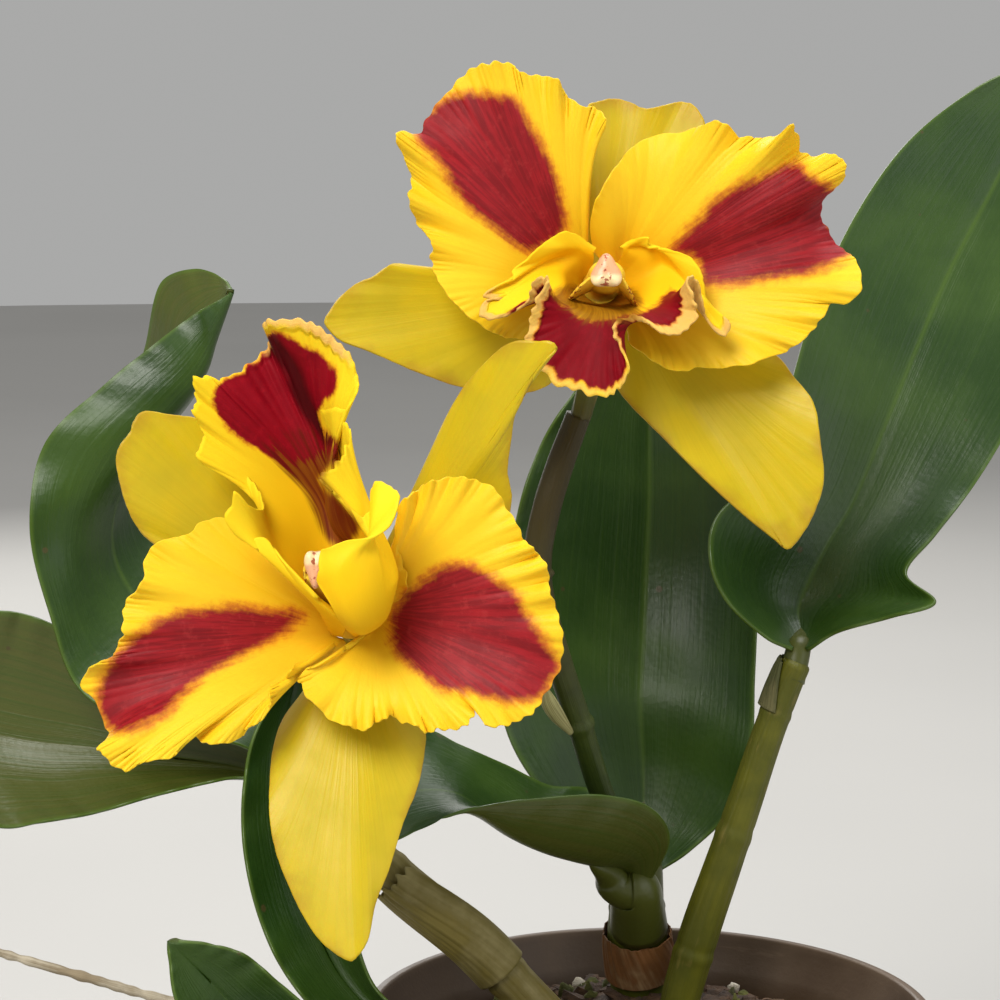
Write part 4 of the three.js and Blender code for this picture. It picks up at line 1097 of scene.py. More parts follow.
LOWER_FANS = {
    "petal_left": Fan(
        claw=[(-1, -6, -9.5), (-2.5, -5, -9.5), (-2.5, -3, -9.5)], bulge=2,
        margin=[
            (-1, -7.5, -9.5), (-3, -9, -7.5), (-5.5, -9.5, -5), (-7.5, -9, -3), (-8.5, -10, 2),
            (-9.5, -11.5, 0), (-11.5, -12.5, 2), (-11.5, -13.5, 4), (-11.5, -15, 3), (-12.5, -17, 2),
            (-14, -18, 3), (-15, -18.5, 1), (-15.5, -19.5, 1), (-18, -20.5, 3), (-20.5, -20.5, 4),
            (-21.5, -20, 2), (-23, -18.5, 0), (-24, -19.5, 2), (-24.5, -21, 5), (-25.5, -22.5, 6),
            (-28.5, -23, 7), (-30.5, -23.5, 7), (-32, -24.5, 7), (-34, -23.5, 7), (-35.5, -22, 8),
            (-36, -21, 7), (-34.5, -19.5, 4), (-35, -18, 0), (-36.5, -14.5, -2), (-38.5, -12, -2),
            (-37.5, -10, 0), (-36, -9, 2), (-34, -8, 1), (-33, -6, 1), (-32.5, -4.5, 3), (-32.5, -2, 1),
            (-32, 0, 1), (-30, 2, 3), (-29.5, 5, 1), (-28.5, 7.5, 0), (-27, 8.5, 0), (-24.5, 9, -2),
            (-22.5, 10, -2), (-20.5, 11.5, -3), (-17, 11.5, -4), (-12, 8.5, -5), (-7, 3.5, -7),
            (-3.5, -0.5, -9),
        ],
        splash=[
            (-35.5, -11.5), (-33.5, -8), (-29.5, -4), (-24.5, -2), (-18.5, -1), (-11.5, -1.5), (-7, -2),
            (-9.5, -4.5), (-13, -6.5), (-18.5, -9.5), (-23.5, -13.5), (-26.5, -16.5), (-31.5, -19),
            (-34.5, -18.5), (-36, -15),
        ],
    ),
    "petal_right": Fan(
        claw=[(1.5, -0.5, -9.5), (3, -2, -9.5), (3, -4.5, -9.5)], bulge=2,
        margin=[
            (5, -1.5, -8), (7, 0, -6), (8, 1.5, -3), (8, 4, -3), (7, 6.5, -3), (6.5, 10, -2), (7, 13.5, -1),
            (8.5, 15, 1), (10, 16, -1), (11.5, 17, 1), (14, 17.5, 0), (16.5, 17.5, 1), (18.5, 17, 0),
            (21, 15.5, 1), (22.5, 13, 0), (24, 10.5, 1), (25, 8.5, 0), (26, 7.5, 2), (27, 6.5, 0),
            (28, 5, 2), (28.5, 3, 0), (28.5, 1, 2), (29.5, -1, 0), (30, -3.5, 1), (30.5, -6.5, 0),
            (30, -9.5, -1), (28.5, -12.5, 0), (27, -15, 1), (25.5, -16.5, 2), (23.5, -17.5, 1),
            (21.5, -18, 2), (19.5, -18, 3), (18.5, -16, 1), (18, -15, 0), (17.5, -16.5, 2), (16.5, -18, 4),
            (14.5, -18.5, 2), (12.5, -18.5, 3), (11, -19, 2), (9.5, -18, 3), (7.5, -17.5, 1), (6, -16.5, 0),
            (5, -17, 3), (3.5, -17.5, 1), (2.5, -18.5, 3), (1, -18.5, 1), (-0.5, -18, 2), (-3, -17, 1),
            (-5, -15, 2), (-6.5, -13.5, 1), (-7, -12, 0), (-7.5, -11.5, 0), (-6.5, -10, 0), (-5, -9.5, 0),
            (-2.5, -8, -1), (0, -6.5, -4.5), (2, -5.5, -7),
        ],
        splash=[
            (6, -4.5), (7, -0.5), (10, 2.5), (14.5, 5), (18.5, 4.5), (23, 1.5), (25.5, -2), (28.5, -7),
            (29.5, -9.5), (28, -13), (25, -14.5), (21.5, -14.5), (18, -13.5), (15.5, -13), (13, -13),
            (10, -10.5), (7, -8),
        ],
    ),
    "sepal_dorsal": Fan(
        claw=[(-1, -5.5, -12), (0.5, -6, -12), (1.5, -5.5, -12)], bulge=2,
        margin=[
            (-3, -8, -13), (-6.5, -13, -12), (-9.5, -17, -10), (-11, -21.5, -7), (-11.5, -26.5, -4),
            (-11.5, -31.5, -2), (-10.5, -36.5, -1), (-8.5, -41.5, 0), (-6.5, -45.5, 1), (-4, -49, 2),
            (-0.5, -51.5, 3), (1, -51, 3), (2.5, -48.5, 2), (3.5, -43.5, 0), (5.5, -38.5, -2),
            (7.5, -32, -4), (9.5, -27, -6), (10.5, -22, -9), (10.5, -18, -11), (8, -13, -12), (3.5, -8, -13),
        ],
    ),
    "sepal_left": Fan(
        claw=[(-2, -4.5, -12), (-2.5, -3, -12), (-1, -1.5, -12)], bulge=-1,
        margin=[
            (-5.5, -3.5, -13), (-14.5, -0.5, -12), (-21.5, 3.5, -10), (-28, 8, -8), (-30.5, 10.5, -8),
            (-32, 13.5, -7), (-33, 17, -7), (-33.5, 20, -7), (-33, 22, -7), (-31.5, 24, -7), (-31, 25.5, -7),
            (-29.5, 27, -8), (-25.5, 26.5, -9), (-22, 26, -10), (-17, 24, -12), (-10.5, 18.5, -13),
            (-4.5, 8, -13), (-1.5, 1.5, -13),
        ],
    ),
    "sepal_right": Fan(
        claw=[(0.5, -0.5, -12), (2.5, -1.5, -12), (3, -3.5, -12)], bulge=-1,
        margin=[
            (3, 3, -13), (7, 10, -12), (10, 16, -11), (11.5, 20.5, -10), (13.5, 25.5, -8), (16, 30, -6),
            (18.5, 33, -4), (21, 35.5, -2), (23.5, 37, 0), (26.5, 37, 1), (28.5, 37, 2), (29.5, 36, 2),
            (28, 34.5, 2), (26.5, 32.5, 1), (25, 29.5, 0), (23.5, 26.5, -2), (23, 23, -4), (22.5, 18.5, -6),
            (23, 13.5, -8), (20, 5.5, -11), (11.5, -1.5, -12), (5, -4.5, -13),
        ],
    ),
}

UPPER_LIP = Lip(
    rings=[
      [
        (-1.5, 3, -5.5), (-3, 1.5, -6), (-3, -0.5, -6), (-1.5, -2, -6), (0, -2.5, -6), (2, -2, -6),
        (3, -0.5, -6), (3, 1.5, -6), (2, 3, -5.5),
      ],
      [
        (-1, 5, -3), (-3.5, 4.5, -3), (-5, 2, -3), (-4, -1.5, 0), (0.5, -3, 2), (5, -2, 0), (7, 1.5, -3),
        (6, 4.5, -3), (3.5, 5.5, -3),
      ],
      [
        (-1, 6, -2), (-4.5, 6.5, -1), (-8, 4.5, -2), (-8, 1.5, 1), (-6, -2, 7), (-3, -3.5, 9),
        (0.5, -4.5, 10), (4, -4.5, 9), (7, -3.5, 8), (9.5, -1.5, 2), (11, 3, -2), (9.5, 6, -1), (6, 7, -2),
        (3.5, 6.5, -2),
      ],
      [
        (-0.5, 6.5, -2), (-2, 7.5, -1), (-3.5, 8.5, 0), (-5.5, 9, 1), (-7.5, 8, 1), (-9.5, 6.5, 2),
        (-11.5, 4.5, 2), (-13.5, 3, 2), (-13.5, 1.5, 3), (-16, 0.5, 4), (-18, -1, 4), (-15.5, -1.5, 4),
        (-14.5, -2, 4), (-16.5, -1.5, 6), (-18, -2, 6), (-18.5, -4, 7), (-16, -4.5, 7), (-13.5, -3.5, 6),
        (-11, -1.5, 8), (-10.5, 1, 10), (-9, 2, 12), (-8, 1.5, 13), (-9.5, -1, 13), (-10.5, -3.5, 12),
        (-11, -6, 11), (-11.5, -8.5, 11), (-9.5, -11.5, 11), (-7, -14.5, 11), (-3.5, -15.5, 12),
        (0, -16.5, 13), (2, -16, 13), (3.5, -14.5, 13), (4.5, -12, 14), (3, -8.5, 14), (2, -6, 14),
        (3, -4.5, 13), (6, -4, 11), (8.5, -6, 12), (11, -7, 13), (13.5, -6, 13), (15, -4, 12),
        (14.5, -1.5, 13), (13.5, 1.5, 13), (14.5, 2, 11), (15.5, 0, 9), (16, -3, 8), (16.5, -4.5, 7),
        (18, -6.5, 7), (19.5, -7, 7), (20, -5, 7), (18, -4.5, 5), (18, -3.5, 3), (16.5, -2, 2), (16, 1, 3),
        (15.5, 3, 3), (14, 5, 2), (11.5, 6, 1), (9.5, 6.5, 0), (7.5, 6.5, 0), (7.5, 8, 1), (6, 8, 0),
        (4.5, 7.5, -2), (3, 6.5, -2),
      ],
    ],
    marks=[
        (0, -3, 1.0, 0.0, 0.0), (8, -3, 1.0, 0.1, 0.1), (9.5, -3, 1.0, 0.8, 0.5), (15.5, -2, 1.0, 1.0, 0.6),
        (17.3, 2, 1.2, 1.0, 0.2), (20.5, 2, 1.5, 1.0, 0.7), (24, 2, 1.5, 0.9, 0.0), (29, 2, 1.3, 0.5, 0.0),
        (33, 2, 0.6, 0.8, 0.2), (35, 2, 0.8, 1.0, 0.1), (39, 2, 2.6, 1.0, 0.1), (42.5, 1.5, 3.4, 1.0, 0.5),
        (45, -0.5, 2.5, 0.9, 0.8), (47, -3, 1.0, 0.9, 0.7), (49.5, -3, 1.0, 0.9, 0.7),
        (51.5, -3, 1.0, 0.0, 0.0), (62, -3, 1.0, 0.0, 0.0),
    ],
    pulls=[(0, 0, 0, 0), (62, 0, 0, 0)],
    apron=[
        (-12.5, 4.5), (-10, 3), (-8.5, 1.5), (-8, 0), (-7, -1.5), (-5, -3), (-3, -4.5), (0, -5), (3, -4.5),
        (6, -4), (8.5, -3), (10.5, -1), (12.5, 1), (14, 3), (20, 3), (20, -20), (-12.5, -20), (-15.5, -7.5),
    ],
    # On this lip the veined outline marks a patch of painted shade in the throat under the column.
    veins_and_throat_shade=[
        (-7, -0.5), (-5, 0.5), (-3, 0.5), (0, 1), (3, 0.5), (5.5, -0.5), (6.5, -2.5), (6, -4.5), (3, -5),
        (0, -5.5), (-3, -5), (-5.5, -3.5), (-7, -2),
    ],
)

LOWER_LIP = Lip(
    rings=[
      [
        (-1, -5, -5), (-2.5, -4.5, -5), (-2.5, -2.5, -5.5), (-2, -0.5, -6), (0, 0.5, -6), (2, -0.5, -5.5),
        (3, -2.5, -5), (2.5, -4, -4), (0.5, -5, -4),
      ],
      [
        (-0.8, -3.2, 4), (-4.5, -1, 2), (-5.5, 1.5, -4), (-3.5, 4.5, -7), (-0.5, 5, -7.5), (3, 4, -5),
        (5.5, 1.5, 1), (5, -2, 6), (1.5, -4, 9), (-1.5, -2.5, 10),
      ],
      [
        (-4.5, 0, 7), (-9.5, 4, 4), (-10.5, 7.5, -1), (-8.5, 13, -6), (-5, 15.5, -8), (-1.5, 14.5, -6),
        (1, 12, -3), (4, 10.5, 1), (6, 8, 6), (3, 4.5, 12), (-1.5, 3.5, 14), (-4.5, 2.5, 12),
      ],
      [
        (-4.6, 0.4, 8), (-9.5, 5.5, 7), (-11, 7.5, 6), (-12.5, 9, 6), (-15, 8.5, 6), (-17, 10, 7),
        (-18, 12, 8), (-17, 13.5, 8), (-16.5, 15.5, 9), (-14.5, 13.5, 7), (-12.5, 13, 3), (-13, 15.5, -1),
        (-14.5, 17.5, -3), (-16, 18.5, -4), (-19, 19, -3), (-21, 19.5, -1), (-22, 21, 0), (-21, 23, -1),
        (-21.5, 25, -1), (-22.5, 27, 1), (-22, 29, 0), (-22.5, 31.5, 2), (-20.5, 32, 1), (-18.5, 31.5, -1),
        (-15.5, 33, -3), (-13.5, 34.5, -5), (-12, 36, -5), (-11.5, 37.5, -3), (-12.5, 39.5, 1), (-11, 40, 3),
        (-7, 40, 4), (-4.5, 39, 5), (-2, 37, 5), (0, 35, 6), (1, 32, 6), (1, 30, 7), (-0.5, 27.5, 7),
        (-2.5, 27.5, 6), (-4, 27, 2), (-3.5, 26.5, 2), (-1, 25.5, 6), (0, 24, 7), (-0.5, 22, 7),
        (-1.5, 20, 8), (-3, 18.5, 10), (-4.5, 17.5, 12), (-2.5, 15.5, 11), (-0.5, 13.5, 10), (1.5, 12, 9),
        (3, 13, 7), (3, 15.5, 6), (4, 17, 7), (6, 16, 8), (7, 15, 9), (6.5, 12.5, 12), (5.5, 10.5, 13),
        (3, 9, 14), (-0.5, 8.5, 14), (-3, 7.5, 14), (-4.2, 7, 13), (-4.5, 4.7, 13), (-3.8, 2.2, 12),
      ],
    ],
    marks=[
        (0, -3, 0.5, 0.0, 0.0), (10, -3, 0.5, 0.0, 0.0), (12, 3, 0.5, 0.1, 0.0), (20, 3, 0.6, 0.2, 0.1),
        (23, 3, 0.3, 0.3, 0.0), (27, 3, 0.4, 1.0, 0.8), (32, 3, 1.3, 1.0, 0.5), (34, 3, 1.6, 0.3, 0.0),
        (36, 3, 1.4, 0.1, 0.0), (40, 3, 0.9, 0.0, 0.0), (49, 3, 0.6, 0.0, 0.0), (51, -3, 0.6, 0.0, 0.0),
        (61, -3, 0.6, 0.0, 0.0),
    ],
    pulls=[
        (0, 0, 0, 0), (26, 0, 0, 0), (28, -0.5, 0, -1.5), (30, -1.0, 0, -3.5), (31.5, -2.0, -0.6, -3.5),
        (33, -3.5, -1.2, 0.0), (34.5, -4.5, -1.5, 1.2), (36, -4.0, -1.0, 0.5), (38, -1.5, 0, -1.5),
        (40, -0.8, 0, -0.5), (42, -1.2, 0, -0.8), (46, -1.4, 0, -0.8), (48.5, 0, 0, 0), (61, 0, 0, 0),
    ],
    apron=[
        (-19, 30.5), (-16.5, 32.5), (-12.5, 35.5), (-11.5, 38), (-9.5, 38), (-7, 36.5), (-4, 35), (-2, 32.5),
        (-2, 30), (-3.5, 28.5), (-4.5, 27), (-4, 25), (-2.5, 23), (-3, 21), (-4.5, 20.5), (-7, 19.5),
        (-9.5, 19.5), (-12, 21), (-15, 22.5), (-17.5, 24.5), (-19, 27), (-19.5, 29.5),
    ],
    veins_and_throat_shade=[
        (-12.5, 23), (-7, 24.5), (-2.5, 23.5), (-1.5, 20.5), (-2.5, 19), (-4, 17.5), (-2.5, 15.5),
        (-0.5, 13), (1.5, 11), (1, 9.5), (-0.5, 7.5), (-2, 7.5), (-4, 9.5), (-5.5, 13), (-7, 16),
        (-9.5, 18.5),
    ],
    fold=[
        (-12.2, 38.0), (-9.4, 35.7), (-7.5, 33.0), (-6.4, 29.7), (-5.2, 27.0), (-3.7, 24.6), (-2.8, 22.6),
        (-4.3, 24.1), (-6.0, 26.6), (-7.4, 29.5), (-8.5, 32.6), (-10.2, 35.1),
    ],
)

COLUMNS = {
    "upper": Stem(
        path=[(0, 0.5, -12), (0.5, 1, -6), (0.5, 1.5, 0), (1, 2, 5), (1, 2.5, 8)],
        radii=[1.9, 2.0, 2.4, 2.7, 2.3],
    ),
    "lower": Stem(
        path=[(0.5, -3, -12), (0, -2, -6), (-1.5, 0, 0), (-3.5, 3, 5), (-4.5, 4.5, 7.5)],
        radii=[1.9, 2.0, 2.3, 2.5, 2.2],
    ),
}

# The wings of each column: pairs of a point on the stalk and one on the wing's edge.
UPPER_WINGS = [
    [
        ((-0.5, 1.5, 8.5), (-1.5, 2.0, 9.0)), ((-0.8, 0.8, 7.0), (-3.4, 0.3, 8.0)),
        ((-0.8, 0.5, 4.0), (-4.6, -1.2, 5.5)), ((-0.8, 0.3, 1.0), (-5.2, -1.8, 2.0)),
    ],
    [
        ((2.5, 1.5, 8.5), (3.6, 1.8, 9.0)), ((2.8, 0.8, 7.0), (4.8, -0.4, 8.0)),
        ((2.8, 0.5, 4.0), (5.6, -2.2, 5.5)), ((2.8, 0.3, 1.0), (6.2, -3.4, 2.0)),
    ],
]
LOWER_WINGS = [
    [
        ((-6.0, 4.5, 7.5), (-6.6, 4.2, 8.2)), ((-5.0, 2.6, 5.5), (-6.4, 2.2, 6.4)),
        ((-3.6, 0.8, 2.5), (-5.2, 0.2, 3.2)), ((-2.2, -0.6, 0.0), (-3.6, -1.4, 0.4)),
    ],
    [
        ((-3.0, 4.8, 7.5), (-2.4, 5.0, 8.2)), ((-2.2, 3.0, 5.5), (-1.0, 3.2, 6.4)),
        ((-1.2, 1.4, 2.5), (0.2, 1.6, 3.2)), ((-0.2, 0.0, 0.0), (1.0, 0.2, 0.4)),
    ],
]

# Leaves: stations from base to tip, each one edge, the rib and the other edge.
LEAVES = {
    "leaf_right": [
        [(50, -25.5, -7), (51, -26, -9), (53, -25.5, -7)],
        [(45.5, -23.5, -3), (51.5, -23, -14), (58, -22.5, -3)],
        [(39, -17.5, 2), (51, -19, -17), (67, -20, 3)],
        [(36, -10.5, 2), (52.5, -14.5, -18), (74.5, -17.5, 3)],
        [(37, -3, -4), (56, -7.5, -19), (69.5, -12.5, -8)],
        [(44.5, 5, -12), (60.5, 0, -21), (74.5, -6, -14)],
        [(49.5, 19, -20), (65.5, 12, -24), (81.5, 3, -20)],
        [(54, 34, -26), (71, 25.5, -28), (89, 15.5, -26)], [(61, 49, -31), (77, 39.5, -33), (96, 29, -32)],
        [(70, 61.5, -35), (84, 53, -38), (101, 44.5, -38)],
        [(81.5, 70.5, -40), (90.5, 66, -43), (102.5, 58, -44)],
        [(92.5, 75.5, -44), (96, 73.5, -47), (101, 69.5, -47)],
        [(99.5, 77.5, -49), (100, 77.5, -49), (100.5, 77, -49)],
    ],
    "leaf_left_high": [
        [(-38, -46.5, -11), (-37, -46, -12), (-36, -46, -11.5)],
        [(-44.5, -42, -7), (-42, -38, -15), (-39, -35, -18)],
        [(-58, -39, -6), (-51.5, -29, -20), (-43.5, -22.5, -28)],
        [(-71.5, -33, -6), (-61.5, -18.5, -22), (-50.5, -10.5, -36)],
        [(-77, -19.5, -7), (-66.5, -9.5, -22), (-57, 1.5, -42)],
        [(-80.5, -5, -8), (-66, 0, -20), (-63.5, 13, -43)],
        [(-78, 9.5, -9), (-60.5, 8.5, -16), (-62.5, 19.5, -40)],
        [(-68.5, 19, -10), (-53.5, 17, -15), (-60.5, 26.5, -36)],
        [(-60, 26, -11), (-50.5, 22.5, -15), (-58, 37, -31)],
        [(-52, 32, -13), (-49, 27.5, -16), (-52, 39.5, -26)],
        [(-48.5, 34, -15), (-47, 33, -17), (-47.5, 38, -21)],
        [(-46, 35.5, -17), (-46, 36, -17), (-46, 36, -17)],
    ],
    "leaf_left_low": [
        [(-38, -46, -16.5), (-38, -47.5, -17.5), (-37, -49, -16.5)],
        [(-44.5, -39, -17), (-46, -45.5, -20), (-44, -47.5, -15)],
        [(-56.5, -32.5, -19), (-58, -44, -23), (-50.5, -48.5, -14)],
        [(-68.5, -25.5, -19), (-69, -42.5, -24), (-60.5, -51, -13)],
        [(-78.5, -20.5, -18), (-79, -41.5, -24), (-69, -53.5, -13)],
        [(-85.5, -19, -18), (-87.5, -40, -24), (-77.5, -55, -13)],
        [(-94, -19.5, -18), (-96, -38.5, -23), (-85.5, -56, -14)],
        [(-102, -25, -18), (-102.5, -37, -22), (-96, -52.5, -15)],
        [(-108, -32.5, -18), (-108, -35.5, -20), (-105, -43, -17)],
        [(-110.5, -35, -19), (-111, -35, -19), (-110.5, -35.5, -19)],
    ],
    "leaf_strap": [
        [(-11.5, -94, 8), (-10.5, -92.5, 6), (-9.5, -91.5, 8)],
        [(-25.5, -92, 10), (-20.5, -88.5, 4), (-17, -87.5, 8)],
        [(-35, -83.5, 8), (-28, -80.5, 0), (-22.5, -81.5, 6)],
        [(-41, -72, 6), (-33.5, -67.5, -3), (-26.5, -67.5, 3)],
        [(-44, -57.5, 4), (-36.5, -53.5, -5), (-29.5, -53.5, 0)],
        [(-43, -43.5, 2), (-37, -40.5, -6), (-31, -41, -2)],
        [(-39, -34, 1), (-35.5, -31.5, -5), (-31.5, -32, -2)],
        [(-34.5, -26.5, 0), (-34, -26, -1), (-33.5, -26.5, -1)],
    ],
    "leaf_small": [
        [(-12, -94.5, 12), (-11, -93.5, 11), (-9.5, -92, 12)],
        [(-26.5, -96, 20), (-22.5, -93, 15), (-19.5, -90.5, 18)],
        [(-40.5, -96, 24), (-36, -92, 17), (-30, -88.5, 20)],
        [(-51.5, -93.5, 28), (-44.5, -87.5, 20), (-37.5, -83, 23)],
        [(-55.5, -85.5, 29), (-50, -82, 24), (-43.5, -78, 26)],
        [(-56.5, -79, 29), (-54, -78, 27), (-50, -76, 28)],
        [(-57, -75.5, 29), (-56, -75.5, 29), (-55, -75.5, 29)],
    ],
    "leaf_middle_low": [
        [(25, -66.5, -15), (23.5, -67.5, -16), (21.5, -66.5, -16.5)],
        [(29, -58, -7), (21, -63, -13.5), (24, -60, -25)],
        [(25.5, -52.5, 2), (15.5, -62, -6), (22, -54, -26)],
        [(17, -50.5, 7), (8, -60, -1), (15, -49.5, -24)], [(7.5, -51, 11), (1.5, -57, 3), (8.5, -49, -20)],
        [(-1, -52, 12), (-4, -53, 4), (1, -45.5, -18)], [(-8.5, -54, 12), (-8.5, -50.5, 5), (-7, -42, -14)],
        [(-17, -58, 12), (-15.5, -50.5, 6), (-13, -39.5, -10)],
        [(-25.5, -62.5, 12), (-22.5, -54, 7), (-19, -43, -5)],
        [(-30, -66, 10), (-27.5, -59, 7), (-25.5, -51.5, 1)],
        [(-32.5, -66, 8), (-32.5, -65.5, 7), (-32, -65, 7)],
    ],
    "leaf_middle_high": [
        [(22.5, -64.5, -24.5), (24, -64.5, -25.5), (25.5, -64.5, -24.5)],
        [(17, -59, -28), (24.5, -57, -33), (32.5, -60, -28)],
        [(8.5, -51.5, -28), (24.5, -46, -36), (40, -52.5, -27)],
        [(1.5, -40.5, -27), (24, -34, -36), (43, -42.5, -25)],
        [(-0.5, -27.5, -29), (24.5, -22.5, -40), (43.5, -31, -29)],
        [(0.5, -15.5, -31), (25, -11, -42), (44, -19, -32)],
        [(2.5, -5, -32), (25.5, 0, -42), (44.5, -7.5, -34)],
        [(5, 4.5, -32), (25.5, 9.5, -41), (44, 3.5, -35)], [(9, 13, -32), (25.5, 18, -38), (40, 13.5, -35)],
        [(15.5, 21.5, -31), (25.5, 25, -35), (33.5, 22.5, -34)],
        [(24, 28, -31), (25, 28.5, -32), (25.5, 28, -32)],
    ],
    "bract": [
        [(11.5, -39.5, -3), (12, -40, -2), (12.5, -39.5, -2.5)],
        [(8.5, -37, -0.5), (9.5, -37.5, 1.5), (11, -36.5, 1)], [(7, -34.5, 2), (8, -35, 4.5), (9.5, -34, 4)],
        [(7, -32.5, 4), (7.5, -32, 5), (8, -32, 4.5)],
    ],
}

# Where each leaf's stalk leaves its cane, and the stalk's radius there.
LEAF_FEET = {
    "leaf_right": ((49.8, -31.0, -8.6), 2.3),
    "leaf_left_high": ((-35.0, -49.0, -13.8), 2.1),
    "leaf_left_low": ((-35.0, -49.0, -13.8), 1.9),
    "leaf_strap": ((-9.0, -94.0, 7.5), 2.0),
    "leaf_small": ((-9.0, -94.0, 7.5), 1.6),
    "leaf_middle_low": ((23.8, -73.0, -22.5), 5.0),
    "leaf_middle_high": ((23.8, -73.0, -23.5), 4.4),
}

STEMS = {
    "cane_right": Stem(
        path=[(29.5, -91.5, -20), (31.5, -83, -19), (34.5, -73, -17), (38, -63, -15),
              (42, -51.5, -13), (45.5, -41, -11), (48.5, -33, -9.5), (51, -27.5, -8)],
        radii=[3.1, 3.5, 3.5, 3.3, 3.0, 2.8, 2.7, 2.5],
    ),
    "cane_middle": Stem(
        path=[(24.5, -87.5, -32), (24, -82, -29), (23.5, -74.5, -25), (23.5, -66, -20)],
        radii=[4.6, 5.4, 5.3, 4.4],
    ),
    "cane_left": Stem(
        path=[(14, -93.5, -21), (5, -85.5, -16), (-5, -75, -13), (-16.5, -65.5, -12),
              (-27.5, -55, -12.5), (-36, -48, -14)],
        radii=[3.2, 3.9, 3.8, 3.6, 3.2, 2.6],
    ),
    "cane_front": Stem(
        path=[(-1, -105.5, 5), (-4.5, -100, 7), (-7, -95.5, 8), (-9.5, -93, 8)],
        radii=[2.2, 3.2, 3.2, 2.4],
    ),
    "flower_stem": Stem(
        path=[(23, -58.5, -19), (20, -55, -15.5), (17, -49, -10.5), (13.5, -38, -4), (10, -27.5, 2),
              (7, -17, 7), (6.5, -9.5, 9), (8, -1.5, 11), (10.5, 6.5, 12), (13.5, 14.5, 14)],
        radii=[2.1, 2.1, 2.1, 2.2, 2.3, 2.4, 2.4, 2.4, 2.3, 2.1],
    ),
    "ovary_upper": Stem(
        path=[(14, 15, 14.5), (15.5, 21, 16), (16.5, 27.5, 19), (17.5, 33, 25), (17.5, 36.5, 35)],
        radii=[1.7, 2.0, 2.4, 2.4, 2.0],
    ),
    "ovary_lower": Stem(
        path=[(8, -25, 7), (0, -26.5, 22), (-8.5, -26.5, 38), (-17, -25, 52), (-23, -23, 61),
              (-25.5, -21.5, 67)],
        radii=[1.6, 1.7, 2.0, 2.3, 2.3, 2.0],
    ),
    "root_loose": Stem(
        path=[(5, -105, 0), (0, -99.5, 1), (-7, -94, 2), (-13.5, -90.5, 1), (-23, -89, 0),
              (-34, -87, 4), (-45.5, -87.5, 8), (-57.5, -85.5, 12), (-70, -82, 14), (-84, -78, 15),
              (-92.5, -75.5, 15)],
        radii=[1.1, 1.1, 1.1, 1.0, 1.0, 0.9, 0.9, 0.8, 0.8, 0.7, 0.4],
    ),
}


@dataclass(frozen=True)
class Cap:
    """The cap of a column: its middle on the sheet, 16 radii round it, and its scales, in mm."""

    middle: Point
    wide: float
    tall: float
    thick: float
    radii: list[float] = field(default_factory=lambda: [
        2.2, 1.9, 1.9, 2.4, 3.1, 2.4, 1.9, 1.9, 2.2, 2.7, 2.9, 2.5, 2.1, 2.5, 2.9, 2.7,
    ])


